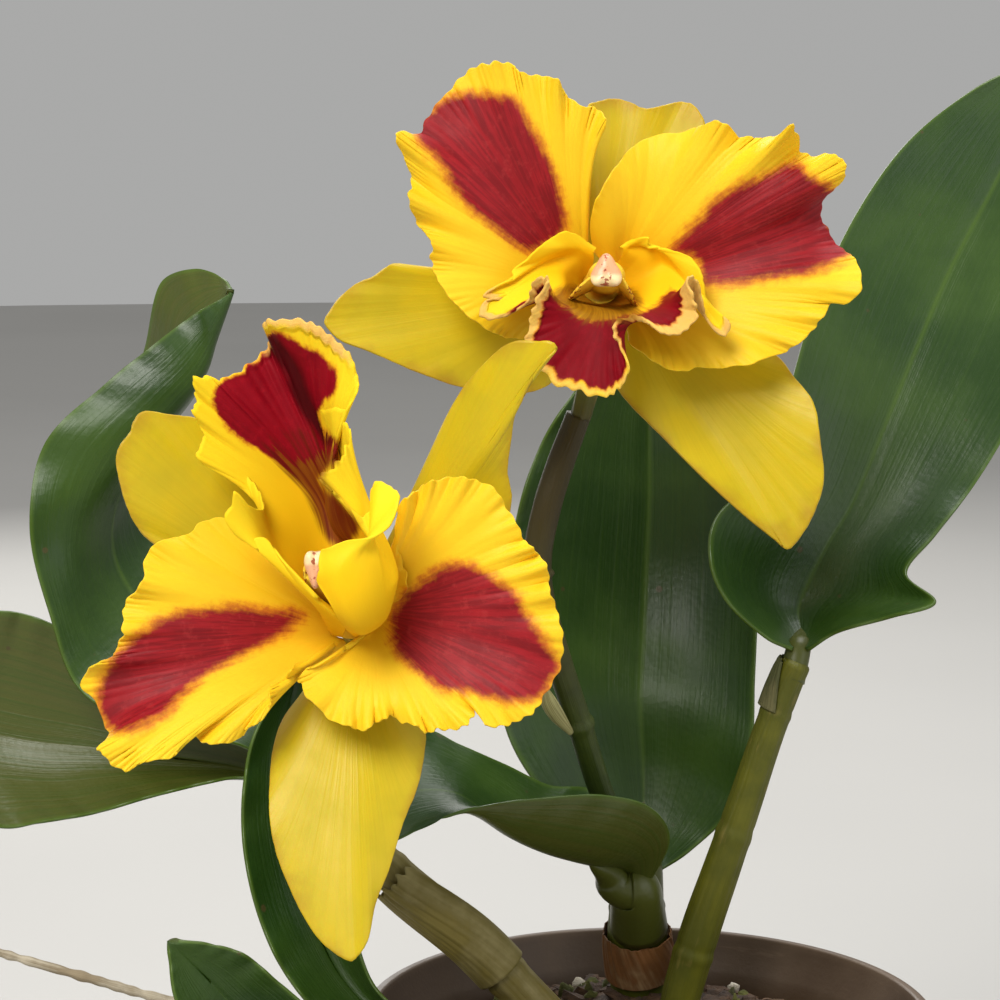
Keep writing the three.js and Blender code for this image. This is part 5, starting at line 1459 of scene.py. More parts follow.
@dataclass
class Bloom:
    """One bloom: three sepals, two splashed petals, a lip, and a column with its cap."""

    name: str
    sheet: Sheet
    fans: dict[str, Fan]
    lip: Lip
    column: Stem
    cap: Cap
    wings: list[list[tuple[Point, Point]]]
    seed: int
    foot: float = 0.16
    crease: float = 1.5
    petal_thickness: float = 0.85
    sepal_thickness: float = 0.95
    lip_thickness: float = 0.8
    pleat: float = 0.12
    tooth: float = 0.34
    calm: float = 1.8

    def fan_surface(
        self, fan: Fan, calm: float, rows: int, cols: int, frill: float, seed: int
    ) -> tuple[Array, dict[str, Array]]:
        """The surface of a petal or sepal.

        point = claw + (broad (1 - v^2) + calm (v^2 - v^7) + margin v^7 - claw) v + a bulge of
        4 v (1 - v) sqrt(sin pi u) outward, where broad and calm are the margin without its
        frills. Pleats grow with v^3, and small teeth cut the outer tenth.

        Args:
            fan: Its outlines.
            calm: Width of the average, in points.
            rows: Points from claw to margin.
            cols: Points along the margin.
            frill: Share of the pleats and teeth.
            seed: Seed of the pleats.

        Returns:
            Grid in metres and its layers.
        """
        margin = np.array(fan.margin, float)
        u, v = steps(cols), 1 - (1 - steps(rows)) ** 1.35
        broad, quiet = (smooth_line(calmed(margin, width), u) for width in (2.6 * calm, calm))
        sharp = smooth_line(margin, u)
        claw = smooth_line(fan.claw, u)
        vv = v[:, None, None]
        points = claw + (broad * (1 - vv**2) + quiet * (vv**2 - vv**7) + sharp * vv**7 - claw) * vv
        bulge = fan.bulge * 4 * v[:, None] * (1 - v[:, None])
        points[..., 2] += bulge * np.sqrt(np.sin(math.pi * u).clip(0))
        length = np.linalg.norm(np.diff(quiet, axis=0), axis=1).sum()
        ends = soft_step(np.minimum(u, 1 - u), 0.0, 0.06)
        beats = max(6, int(length / 6))
        points[..., 2] += frill * self.pleat * (v**3)[:, None] * (hum(u, beats, seed) * ends)
        points[..., 2] += frill * 0.07 * (v**4)[:, None] * (hum(u, beats * 3, seed + 1) * ends)
        outward = unit(sharp - claw)
        teeth = 0.55 * hum(u, int(beats * 2.2), seed + 2) * ends
        fringe = soft_step(v, 0.86, 1.0)[:, None]
        points += (frill * self.tooth * fringe * teeth)[..., None] * outward
        points[..., 2] += frill * 0.16 * fringe * (hum(u, beats * 5, seed + 3) * ends)
        layers = {"rail": u * length / 100, "reach": v[:, None], "tip": v[:, None] ** 6}
        if fan.splash:
            layers["splash"] = depth_inside(points[..., :2], smooth_loop(fan.splash, 64))
        return self.sheet.place(points), layers

    def build_sepals(self, material: Material) -> None:
        """Builds the three sepals.

        Args:
            material: Their finish.
        """
        for k, part in enumerate(("sepal_dorsal", "sepal_left", "sepal_right")):
            grid, layers = self.fan_surface(self.fans[part], 1.0, 40, 130, 0.18, self.seed + 40 * k)
            thickness = self.sepal_thickness * (1 - 0.6 * layers["reach"] ** 10) * MM
            node = f"{self.name}_{part}"
            make_piece(f"{node}_wax", sheet_block(grid, thickness, layers), material, (node,))

    def build_petals(self, material: Material) -> None:
        """Builds the two petals.

        Args:
            material: Their finish.
        """
        for k, part in enumerate(("petal_left", "petal_right")):
            grid, layers = self.fan_surface(self.fans[part], 1.5, 56, 420, 1.0, self.seed + 7 + 40 * k)
            thickness = self.petal_thickness * (1 - 0.7 * layers["reach"] ** 6) * MM
            node = f"{self.name}_{part}"
            make_piece(f"{node}_velvet", sheet_block(grid, thickness, layers), material, (node,))

    def lip_surface(self, rows: int, cols: int) -> tuple[Array, dict[str, Array]]:
        """The surface of the lip.

        The rings are read at u and joined smoothly in v, the last one calmed; what the margin
        has over it comes in with w^3, w from 0 at v = 0.62 to 1 at the edge. Fine waves and
        teeth follow, and a fold is a crease of exp(-(distance / 1.2)^2) inward.

        Args:
            rows: Points from foot to margin.
            cols: Points along the margin.

        Returns:
            Grid in metres and its layers.
        """
        u, v = steps(cols), steps(rows)
        margin = np.array(self.lip.rings[-1], float)
        quiet = smooth_line(calmed(margin, self.calm), u)
        rings = np.stack([smooth_line(ring, u) for ring in self.lip.rings[:-1]] + [quiet])
        points = smooth_line(rings.reshape(len(rings), -1), v).reshape(rows, cols, 3)
        points += (np.clip((v - 0.62) / 0.38, 0, 1) ** 3)[:, None, None] * (smooth_line(margin, u) - quiet)
        ends = soft_step(np.minimum(u, 1 - u), 0.0, 0.05)
        fringe = soft_step(v, 0.8, 1.0)[:, None]
        outward = unit(points[-1] - points[-4])
        place = u * (len(self.lip.rings[-1]) - 1)
        pull = np.array(self.lip.pulls, float)
        arch = np.sin(math.pi * np.clip((v - 0.5) / 0.5, 0, 1))[:, None, None]
        points += arch * np.stack([np.interp(place, pull[:, 0], pull[:, k]) for k in (1, 2, 3)], -1)
        marks = np.array(self.lip.marks, float)
        red, band, buff, dry = (np.interp(place, marks[:, 0], marks[:, k])[None] for k in range(1, 5))
        ragged = soft_step(red[0], -3.0, 0.0)
        teeth = 0.6 * hum(u, 70, self.seed + 5) * ends * (0.1 + 0.3 * ragged)
        points += (fringe * teeth)[..., None] * outward
        points[..., 2] += 0.14 * fringe * (hum(u, 60, self.seed + 6) * ends * ragged)
        step = np.linalg.norm(np.diff(points, axis=0), axis=2)
        inset = np.concatenate([np.cumsum(step[::-1], axis=0)[::-1], np.zeros((1, cols))])
        flat = points[..., :2]
        inside = depth_inside(flat, smooth_loop(self.lip.apron, 80))
        # The veined outline: streaks on the lower lip, a patch of painted shade in the throat on the upper
        # lip.
        veins_and_throat_shade = depth_inside(flat, smooth_loop(self.lip.veins_and_throat_shade, 60))
        # The fold outline pushes a crease into the lip and also carries its painted shade.
        fold = np.full((rows, cols), -9.0)
        if self.lip.fold:
            fold = depth_inside(flat, smooth_loop(self.lip.fold, 60))
            crease = np.exp(-((np.minimum(fold, 0) / 1.2) ** 2)) * soft_step(v, 0.5, 0.62)[:, None]
            points[..., 2] -= self.crease * crease
        layers = {
            "rail": u * 2.0,
            "reach": v[:, None],
            "splash": np.minimum(np.minimum(inset - band, inside), red),
            "streak_and_throat_shade": np.minimum(veins_and_throat_shade, red),
            "fold": fold,
            "edge": buff * (1 - soft_step(inset - band, -0.3, 0.9)),
            "dry": dry * (1 - soft_step(inset, 0.3, 2.0)),
        }
        return self.sheet.place(points), layers

    def build_lip(self, material: Material) -> None:
        """Builds the lip.

        Args:
            material: Its finish.
        """
        grid, layers = self.lip_surface(90, 620)
        thickness = self.lip_thickness * (1 - 0.6 * layers["reach"] ** 6) * MM
        node = f"{self.name}_lip"
        make_piece(f"{node}_frill", sheet_block(grid, thickness, layers), material, (node,))

    def build_column(self, material: Material) -> None:
        """Builds the column, a tapered stalk, and its two thin wings.

        Stalk radius = r(s) * foot(s) * (1 + 0.08 cos 2a); a wing is a strip from a line on
        the stalk to an edge.

        Args:
            material: Its finish.
        """
        line, radii = self.column.line(self.sheet, 40)
        angle = turns(32)
        s = steps(40)
        foot = 1 + 0.8 * np.exp(-(((s - self.foot) / 0.13) ** 2))
        radius = (radii * foot)[:, None] * (1 + 0.08 * np.cos(2 * angle))[None]
        block = tube_block(line, radius)
        block.layers["edge"] = np.zeros(len(block.points))
        for wing in self.wings:
            pairs = np.array(wing, float)
            t, w = steps(30), steps(12)[None, :, None]
            inner, outer = smooth_line(pairs[:, 0], t)[:, None], smooth_line(pairs[:, 1], t)[:, None]
            grid = inner * (1 - w) + outer * w
            edge = w[..., 0]
            values = {"along": t[:, None] * 0.006, "turn": edge, "edge": edge}
            strip = sheet_block(self.sheet.place(grid), 0.4 * MM, values)
            strip.layers.pop("face")
            block = block.joined(strip)
        make_piece(f"{self.name}_column_stalk", block, material, (f"{self.name}_column",))

    def build_anther(self, material: Material) -> None:
        """Builds the cap on the column, with two low lobes and a groove.

        point = middle + R(a) sin(pi q)^0.8 in the sheet + thick (cos(pi q) + 0.5 lobes(a)
        sin(pi q)) outward, at turn a and depth q, where R(a) is read from the cap's radii.

        Args:
            material: Its finish.
        """
        rows, sides = 28, 64
        cap = self.cap
        turn = turns(sides)
        reach = np.interp(turn, np.linspace(0, 2 * math.pi, 17), cap.radii + [cap.radii[0]])
        weight = np.exp(-0.5 * (np.arange(-4, 5) / 1.8) ** 2)
        reach = sum(w * np.roll(reach, k) for w, k in zip(weight / weight.sum(), range(-4, 5)))
        fall = (turn + math.pi / 2 + math.pi) % (2 * math.pi) - math.pi
        lobes = np.exp(-(((np.abs(fall) - 0.75) / 0.4) ** 2))
        q = np.linspace(0, 1, rows + 2)[1:-1, None] * math.pi
        ring = np.sin(q) ** 0.8
        flat = np.stack([ring * (reach * np.cos(turn)) * cap.wide, ring * (reach * np.sin(turn)) * cap.tall,
                         cap.thick * (np.cos(q) + 0.5 * lobes * np.sin(q))], -1)
        poles = np.array([[0, 0, 0.9 * cap.thick], [0, 0, -cap.thick]])
        middle = np.array(cap.middle, float)
        ridge = np.exp(-((flat[..., 0] / 0.8) ** 2)) * soft_step(np.cos(q), -0.2, 0.5)
        low = soft_step(-flat[..., 1] * cap.tall, -0.4, 1.4)
        ends = self.sheet.place(poles + middle)
        block = ring_block(self.sheet.place(flat + middle), ends[0], ends[1], {"ridge": ridge, "low": low})
        make_piece(f"{self.name}_anther_cap", block, material, (f"{self.name}_anther",))


@dataclass
class Leaf:
    """One leathery leaf: edge, rib and edge at stations from base to tip, in mm.

    foot is where its stalk leaves the cane and stalk the radius there.
    """

    name: str
    stations: list[list[Point]]
    seed: int
    foot: Point | None = None
    stalk: float = 2.0
    thickness: float = 1.3
    groove: float = 0.35

    def surface(self, rows: int, cols: int) -> tuple[Array, dict[str, Array]]:
        """The leaf's surface.

        point = left * t (t - 1) / 2 + rib * (1 - t^2) + right * t (t + 1) / 2, t from -1 to 1,
        with a groove of exp(-(t / 0.07)^2) along the rib and low waves near the edges.

        Args:
            rows: Points along the length.
            cols: Points across.

        Returns:
            Grid in metres and its layers.
        """
        stations = np.array(self.stations, float)
        s = steps(rows)
        left, rib, right = (smooth_line(stations[:, k], s)[:, None] for k in range(3))
        t = np.sin(np.linspace(-0.5, 0.5, cols) * math.pi)[None, :, None]
        grid = left * t * (t - 1) / 2 + rib * (1 - t * t) + right * t * (t + 1) / 2
        side = np.broadcast_to(t[..., 0], (rows, cols))
        width = np.linalg.norm(right - left, axis=-1)
        fade = soft_step(width, 1.0, 12.0)
        dip = self.groove * np.exp(-(side / 0.07) ** 2) * fade
        both, odd = hum(s, 7, self.seed)[:, None], hum(s, 9, self.seed + 1)[:, None]
        grid[..., 2] += 0.35 * side**4 * (both + np.sign(side) * odd) * fade - dip
        return PLANT.place(grid), {"side": side, "reach": s[:, None]}

    def keel(self) -> Block:
        """The stalk from the cane along the rib's underside: radius = stalk * (1 - s)^0.8.

        Returns:
            The block.
        """
        stations = np.array(self.stations, float)
        left, rib, right = (smooth_line(stations[:, k], np.linspace(0.01, 0.2, 7)) for k in range(3))
        below = unit(rib - (left + right) / 2)[3]
        s = steps(50)
        radius = self.stalk * (1 - s) ** 0.8 + 0.15
        line = smooth_line(np.concatenate([[self.foot], rib]), s)
        line += (radius * soft_step(s, 0.12, 0.5))[:, None] * below
        block = tube_block(PLANT.place(line), (radius * MM)[:, None] + np.zeros((1, 28)))
        count = len(block.points)
        block.layers = {"side": np.full(count, 0.4), "reach": np.zeros(count), "face": np.zeros(count)}
        return block

    def build(self, material: Material, slot: str = "leaf") -> None:
        """Builds the leaf.

        Args:
            material: Its finish.
            slot: Not used.
        """
        grid, layers = self.surface(170, 60)
        taper = 1 - 0.6 * np.abs(layers["side"]) ** 4
        block = sheet_block(grid, self.thickness * taper * MM, layers)
        if self.foot:
            block = block.joined(self.keel())
        make_piece(f"{self.name}_blade", block, material, (self.name,))


@dataclass
class Sheath:
    """The dry leaf base that wraps part of a cane."""

    name: str
    start: float
    end: float
    turn: float
    sweep: float
    seed: int
    torn: float = 0.1
    gap: float = 0.8
    flare: float = 0.4
    thickness: float = 0.5

    def build(self, line: Array, radii: Array, material: Material) -> None:
        """Builds the sheath as a thin wrap that stands off its cane.

        point = line + (radius + gap + flare s) * (cos a * front + sin a * side), with a
        frayed mouth.

        Args:
            line: Middle line of the cane, in metres.
            radii: Its radii, in metres.
            material: Its finish.
        """
        rows, cols = 60, 110
        share = steps(rows)[:, None]
        across = steps(cols)[None]
        ragged = self.torn * hum(steps(cols), 6, self.seed) * share**3
        t = self.start + (self.end - self.start) * (share + ragged * 0.5)
        centre = smooth_line(line, t.ravel()).reshape(rows, cols, 3)
        radius = smooth_line(radii[:, None], t.ravel()).reshape(rows, cols)
        run = smooth_line(unit(np.gradient(line, axis=0)), t.ravel()).reshape(rows, cols, 3)
        viewer = np.array([0.0, -1.0, 0.0])
        front = unit(viewer - run * (run @ viewer)[..., None])
        side = np.cross(run, front)
        angle = np.radians(self.turn + (self.sweep - 50 * share) * across)
        ripple = 0.1 * hum(across.ravel(), 16, self.seed + 1)[None] * (0.3 + share)
        reach = radius + (self.gap + self.flare * share + ripple) * MM
        outward = np.cos(angle)[..., None] * front + np.sin(angle)[..., None] * side
        grid = centre + reach[..., None] * outward
        edge = 1 - 0.6 * np.maximum(share**6, np.abs(2 * across - 1) ** 8)
        block = sheet_block(grid, self.thickness * edge * MM, {"along": share * 0.03, "turn": across})
        make_piece(f"{self.name}_paper", block, material, (self.name,))


@dataclass
class Cane:
    """A furrowed cane with ringed joints, and the sheath on it."""

    name: str
    stem: Stem
    joints: list[float]
    seed: int
    slot: str = "cane"
    sheath: Sheath | None = None

    def build(self, skin: Material, paper: Material) -> None:
        """Builds the cane and its sheath.

        radius = r(s) * (1 + 0.018 cos(9 a + bend) + joints); a joint is a low ring with a
        groove above it.

        Args:
            skin: Finish of the cane.
            paper: Finish of its sheath.
        """
        rows, sides = 180, 72
        line, radii = self.stem.line(PLANT, rows)
        s = steps(rows)
        angle = turns(sides)
        bend = hum(s, 2, self.seed)[:, None]
        furrows = 0.018 * np.cos(9 * angle + bend) + 0.008 * np.cos(23 * angle + 2 * bend)
        length = np.linalg.norm(np.diff(line, axis=0), axis=1).sum()
        off = (s[:, None] - np.array(self.joints)) * length / MM
        ring = 0.045 * np.exp(-((off / 0.8) ** 2)).sum(1) - 0.03 * np.exp(-(((off - 1.5) / 0.5) ** 2)).sum(1)
        round_end = np.sqrt(1 - (1 - ((1 - s) * length / (1.5 * MM)).clip(0, 1)) ** 2 * 0.7)
        radius = radii[:, None] * (1 + furrows + ring[:, None]) * round_end[:, None]
        make_piece(f"{self.name}_skin", tube_block(line, radius), skin, (self.name,))
        if self.sheath:
            self.sheath.build(line, radii, paper)


# Each cane's name, joints, seed, skin, the skin of its sheath, and the sheath.
CANES = [
    (
        "cane_right", [0.22, 0.5, 0.79], 3, Bark.GREEN_CANE, Bark.GREY_SHEATH,
        Sheath("sheath_right", 0.8, 0.985, -200, 190, 51, torn=0.05, gap=0.5, flare=0.15),
    ),
    (
        "cane_middle", [0.41, 0.86], 4, Bark.OLIVE_CANE, Bark.SHEATH,
        Sheath("sheath_middle", 0.4, 0.7, -140, 300, 52, torn=0.05, gap=0.6, flare=0.2),
    ),
    (
        "cane_left", [0.28, 0.64, 0.9], 5, Bark.OLD_CANE, Bark.OLD_CANE,
        Sheath("sheath_left", 0.3, 0.62, -150, 250, 53, torn=0.04),
    ),
    ("cane_front", [0.6], 6, Bark.GREEN_CANE, Bark.SHEATH, None),
]


@dataclass
class Shoot:
    """A green stem that carries blooms: ridged, with ringed joints."""

    name: str
    stem: Stem
    ribs: int
    depth: float
    joints: list[float]
    seed: int
    lap: float = 0.0
    reach: float = 0.0

    def build(self, material: Material) -> None:
        """Builds the stem.

        radius = r(s) * (1 + depth cos(ribs a + bend) + rings at its joints); its start is
        run back by lap and its end runs on by reach, in mm.

        Args:
            material: Its finish.
        """
        rows, sides = 200, 48
        line, radii = self.stem.line(PLANT, rows)
        s = steps(rows)
        if self.lap:
            back = unit(line[0] - line[6]) * self.lap * MM
            lead = line[0] + np.linspace(1, 0, 12, endpoint=False)[:, None] * back
            line = np.concatenate([lead, line])[:rows]
            radii = np.concatenate([radii[0] * np.linspace(0.7, 1, 12), radii])[:rows]
            line[-8:] += steps(8)[:, None] * unit(line[-1] - line[-8]) * self.reach * MM
        angle = turns(sides)
        bend = 1.5 * s[:, None] + 0.4 * hum(s, 2, self.seed)[:, None]
        off = s[:, None] - np.array(self.joints)
        ring = 0.22 * np.exp(-((off / 0.008) ** 2)).sum(1)[:, None]
        radius = radii[:, None] * (1 + self.depth * np.cos(self.ribs * angle + bend) + ring)
        make_piece(f"{self.name}_skin", tube_block(line, radius), material, (self.name,))


SHOOTS = [
    (Shoot("flower_stem", STEMS["flower_stem"], 3, 0.03, [0.33, 0.62], 21), Bark.STEM),
    (Shoot("ovary_upper", STEMS["ovary_upper"], 6, 0.07, [], 22, 3.0, 1.6), Bark.OVARY_UPPER),
    (Shoot("ovary_lower", STEMS["ovary_lower"], 6, 0.07, [], 23, 2.0, 1.6), Bark.OVARY),
]


@dataclass
class LooseRoot:
    """A dry root that leaves the bark and hangs over the rim."""

    stem: Stem
    seed: int = 31

    def build(self, material: Material) -> None:
        """Builds the root: a knotty thread, radius = r(s) * (1 + 0.12 hum(s) + 0.05 cos(3a + 4s)).

        Args:
            material: Its finish.
        """
        line, radii = self.stem.line(PLANT, 260)
        s = steps(260)
        angle = turns(20)
        knots = 0.12 * hum(s, 30, self.seed)[:, None] + 0.05 * np.cos(3 * angle + 4 * s[:, None])
        radius = radii[:, None] * (1 + knots)
        make_piece("root_loose_skin", tube_block(line, radius), material, ("root_loose",))


@dataclass
class Pot:
    """A moulded nursery pot: tapered wall, rolled rim band and holes in its floor, in mm."""

    rim_radius: float = 50.0
    height: float = 86.0
    band_height: float = 9.0
    body_radius: float = 46.5
    foot_radius: float = 34.0
    wall: float = 2.0
    hole_radius: float = 4.0
    hole_circle: float = 26.0
    holes: int = 6
    sides: int = 144

    def profile(self) -> Array:
        """The wall's outline: straight runs joined by arcs, up the outside and down inside.

        Returns:
            Radius and height of each corner, in metres.
        """
        quarter = np.linspace(0, math.pi / 2, 6)
        sin, cos = np.sin(quarter), np.cos(quarter)
        rim, top, body, foot = self.rim_radius, self.height, self.body_radius, self.foot_radius
        under, inside, hollow = top - self.band_height, body - self.wall, foot - self.wall
        runs = [
            (0.0, 0.0),
            (foot - 0.9 + 0.9 * sin, 0.9 - 0.9 * cos),
            (np.linspace(foot, body, 18)[1:-1], np.linspace(0.9, under - 0.2, 18)[1:-1]),
            (body + np.array([-0.1, 0.0, 0.4]), under - np.array([0.9, 0.3, 0.0])),
            (rim - 0.9 + 0.7 * sin, under + 0.7 - 0.7 * cos),
            (rim - 0.8 + 0.8 * cos, top - 0.8 + 0.8 * sin),
            (rim - self.wall + 0.5 - 0.5 * sin, top - 0.5 + 0.5 * cos),
            (inside + np.array([1.0, 0.5]), under + np.array([2.6, 1.8])),
            (np.linspace(inside - 0.3, hollow + 0.9, 12), np.linspace(under - 3, self.wall + 0.6, 12)),
            (np.array([hollow + 0.2, 0.0]), self.wall),
        ]
        return np.concatenate([np.stack(np.broadcast_arrays(r, z), -1).reshape(-1, 2) for r, z in runs]) * MM

    def build(self, material: Material) -> None:
        """Builds the pot and cuts its drain holes.

        Args:
            material: Its finish.
        """
        shell = lathe_block(self.profile(), self.sides)
        piece = make_piece("pot_shell", shell, material, ("pot",))
        wide = self.hole_radius
        pin = lathe_block(np.array([(0, -2), (wide, -2), (wide, 5), (0, 5)]) * MM, 32)
        drill = Block(np.zeros((0, 3)), [])
        for a in turns(self.holes) + math.pi / self.holes:
            shift = np.array([math.cos(a), math.sin(a), 0]) * self.hole_circle * MM
            drill = drill.joined(Block(pin.points + shift, pin.faces))
        mesh = bpy.data.meshes.new("drill")
        mesh.from_pydata(drill.points.tolist(), [], [f.tolist() for faces in drill.faces for f in faces])
        cutter = put_in_scene("drill", mesh)
        cut = piece.modifiers.new("drain", "BOOLEAN")
        cut.object, cut.operation, cut.solver = cutter, "DIFFERENCE", "EXACT"
        drilled = piece.evaluated_get(bpy.context.evaluated_depsgraph_get())
        shaped = bpy.data.meshes.new_from_object(drilled)
        piece.modifiers.remove(cut)
        piece.data = shaped
        bpy.data.objects.remove(cutter)


@dataclass
class BarkBed:
    """The heaped bark in the pot, its loose chips, grit and moss, in mm."""

    wall_level: float = 75.0
    heap: float = 8.0
    heap_back: float = 16.0
    heap_reach: float = 20.0
    top_radius: float = 43.4
    floor_radius: float = 32.0
    floor_level: float = 2.4
    chips: int = 300
    seed: int = 11

    def level(self, x: Array, y: Array) -> Array:
        """Height of the bed: wall level + heap * exp(-(distance to the heap / reach)^2)."""
        reach = np.hypot(x, y - self.heap_back) / self.heap_reach
        return self.wall_level + self.heap * np.exp(-(reach**2))

    def build_bed(self, material: Material) -> None:
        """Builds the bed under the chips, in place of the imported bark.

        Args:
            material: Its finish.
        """
        sides, draw = 96, np.random.default_rng(self.seed)
        angle = turns(sides)
        below = np.linspace(self.floor_radius, self.top_radius, 8)[:, None]
        depth = np.linspace(self.floor_level, self.wall_level - 1, 8)[:, None] + 0 * angle
        r = np.linspace(self.top_radius, 1.2, 26)[:, None]
        x, y = r * np.cos(angle), r * np.sin(angle)
        lumps = 0.9 * np.sin(x * 0.9 + 2 * np.cos(y * 0.5)) * np.cos(y * 1.1 + np.sin(x * 0.6))
        top = self.level(x, y) + lumps + draw.uniform(-0.5, 0.5, x.shape)
        top[0] = self.wall_level - 0.5
        rings = np.concatenate([
            np.stack([below * np.cos(angle), below * np.sin(angle), depth], -1),
            np.stack([x, y, top], -1),
        ]) * MM
        ends = np.array([[0, 0, self.floor_level], [0, 0, self.level(np.array(0.0), np.array(0.0))]]) * MM
        block = ring_block(rings, ends[0], ends[1], {"shade": np.full((1, 1), 0.2)})
        make_piece("bark_bed", block, material, ("bark",))

    def lumps(self, centre: Array, size: Array, square: float, draw: np.random.Generator) -> Block:
        """Many small lumps as one mesh.

        point = centre + turn * size * signed powers of the sines of latitude and longitude,
        each pushed a little at random.

        Args:
            centre: Middle of each lump, in mm.
            size: Half size of each lump, in mm.
            square: Power of the sines, 1 for round.
            draw: Source of chance.

        Returns:
            The block, with a layer "shade".
        """
        count, rows, sides = len(centre), 4, 8
        lat = np.linspace(-0.42, 0.42, rows)[:, None] * math.pi
        lon = (np.arange(sides) * 2 * math.pi / sides + 0.2)[None]
        waist, height = signed_power(np.cos(lat), square), signed_power(np.sin(lat), square)
        round_x, round_y = signed_power(np.cos(lon), square), signed_power(np.sin(lon), square)
        ball = np.stack([waist * round_x, waist * round_y, height + 0 * lon], -1).reshape(-1, 3)
        ball = np.concatenate([ball, [[0, 0, -1.0], [0, 0, 1.0]]])
        points = ball[None] * size[:, None] * (1 + draw.uniform(-0.2, 0.2, (count, len(ball), 1)))
        tilt, roll = draw.uniform(-0.5, 0.5, (2, count))
        spin = draw.uniform(0, math.pi, count)
        one, nil = np.ones(count), np.zeros(count)
        (ct, cr, cs), (st, sr, ss) = np.cos([tilt, roll, spin]), np.sin([tilt, roll, spin])
        turn_x = np.array([[one, nil, nil], [nil, ct, -st], [nil, st, ct]])
        turn_y = np.array([[cr, nil, sr], [nil, one, nil], [-sr, nil, cr]])
        turn_z = np.array([[cs, -ss, nil], [ss, cs, nil], [nil, nil, one]])
        turn = np.einsum("ijn,jkn,kln->nil", turn_z, turn_y, turn_x)
        points = np.einsum("nil,npl->npi", turn, points) + centre[:, None]
        start = (np.arange(count) * len(ball))[:, None, None]
        shade = np.repeat(draw.uniform(0, 1, count), len(ball))
        faces = [(f[None] + start).reshape(-1, f.shape[1]) for f in ring_faces(rows, sides)]
        return Block(points.reshape(-1, 3) * MM, faces, {"shade": shade}).outward()

    def scatter(self, count: int, reach: float, lift: float, draw: np.random.Generator) -> Array:
        """Places on the bed, drawn evenly over a round.

        Args:
            count: How many are drawn.
            reach: Radius of the round, in mm.
            lift: Height over the bed, in mm.
            draw: Source of chance.

        Returns:
            Points, in mm.
        """
        r = reach * np.sqrt(draw.uniform(0, 1, count))
        a = draw.uniform(0, 2 * math.pi, count)
        x, y = r * np.cos(a), r * np.sin(a)
        return np.stack([x, y, self.level(x, y) + lift], -1)

    def build(self, bark: Material, grit: Material, moss: Material) -> None:
        """Builds the bed and everything loose on it.

        Args:
            bark: Finish of bed and chips.
            grit: Finish of the perlite.
            moss: Finish of the moss.
        """
        self.build_bed(bark)
        draw = np.random.default_rng(self.seed + 1)
        spots = self.scatter(self.chips, 38.0, 0.6, draw)
        size = draw.uniform((1.8, 1.2, 0.6), (4.6, 3.0, 1.5), (self.chips, 3))
        make_piece("bark_chips", self.lumps(spots, size, 0.55, draw), bark, smooth=False)
        spots = self.scatter(26, 39.0, 1.6, draw)
        spots[0] = (18.0, 36.0, self.wall_level + 3.0)
        size = draw.uniform(0.6, 1.7, (26, 3))
        make_piece("perlite_bits", self.lumps(spots, size, 0.8, draw), grit)
        spots = self.scatter(170, 40.0, 1.0, draw)
        size = draw.uniform(0.7, 2.2, (170, 3))
        make_piece("moss_tufts", self.lumps(spots, size, 1.0, draw), moss)


@dataclass
class Studio:
    """A pale floor, soft lights and the camera of the photograph."""

    floor_radius: float = 3.0
    floor_colour: Colour = (0.5, 0.49, 0.47)
    middle: Point = (0.0, -0.01, 0.15)

    def build_floor(self) -> None:
        """Builds the floor: a flat disc with a faint mottle."""
        angle = turns(96)
        circle = np.stack([np.cos(angle), np.sin(angle), 0 * angle], -1)
        rings = np.array([0.2, 0.6, 1.4, self.floor_radius])[:, None, None] * circle
        index = np.arange(4 * 96).reshape(4, 96)
        after = np.roll(index, -1, axis=1)
        quads = np.stack([index[:-1], index[1:], after[1:], after[:-1]], -1).reshape(-1, 4)
        mesh = bpy.data.meshes.new("studio_floor")
        mesh.from_pydata(rings.reshape(-1, 3).tolist(), [], quads.tolist() + [index[0].tolist()])
        b = Bench("floor_paper")
        mottle = b.noise(b.place(), 3.0, 3.0)
        pale = self.floor_colour
        b.finish(b.mix(b.fade(mottle, 0.3, 0.7), pale, tuple(0.96 * c for c in pale)), 0.8)
        mesh.materials.append(b.material)
        put_in_scene("studio_floor", mesh)

    def add_light(self, name: str, place: Point, size: float, power: float, colour: Colour) -> None:
        """Adds a square soft light that faces the plant.

        Args:
            name: Name of the light.
            place: Where it stands, in metres.
            size: Side of the square, in metres.
            power: Watts.
            colour: Colour of the light.
        """
        data = bpy.data.lights.new(name, "AREA")
        data.shape, data.size, data.energy, data.color = "SQUARE", size, power, colour
        lamp = put_in_scene(name, data)
        lamp.location = place
        lamp.rotation_euler = (Vector(self.middle) - Vector(place)).to_track_quat("-Z", "Y").to_euler()

    def build(self) -> None:
        """Builds floor, lights, world and camera."""
        self.build_floor()
        self.add_light("key_soft", (-0.35, -0.8, 0.85), 0.5, 12.5, (1.0, 0.98, 0.94))
        self.add_light("top_soft", (0.25, 0.2, 1.1), 0.6, 6.5, (1.0, 1.0, 1.0))
        self.add_light("fill_soft", (0.9, -0.55, 0.45), 0.7, 2.5, (0.95, 0.97, 1.0))
        self.add_light("back_soft", (-0.3, 0.95, 0.6), 0.8, 5.0, (1.0, 0.99, 0.96))
        world = bpy.data.worlds.new("studio_air")
        world.use_nodes = True
        air = world.node_tree.nodes["Background"].inputs
        air["Color"].default_value, air["Strength"].default_value = (0.8, 0.8, 0.79, 1.0), 0.5
        bpy.context.scene.world = world
        data = bpy.data.cameras.new("photo_camera")
        data.lens, data.sensor_width = LENS, SENSOR
        data.clip_start, data.clip_end = 0.01, 20.0
        camera = put_in_scene("photo_camera", data)
        camera.location = EYE * MM
        camera.rotation_euler = (math.pi / 2 - PITCH, 0.0, 0.0)
        bpy.context.scene.camera = camera
        bpy.context.scene.view_settings.view_transform = "Standard"


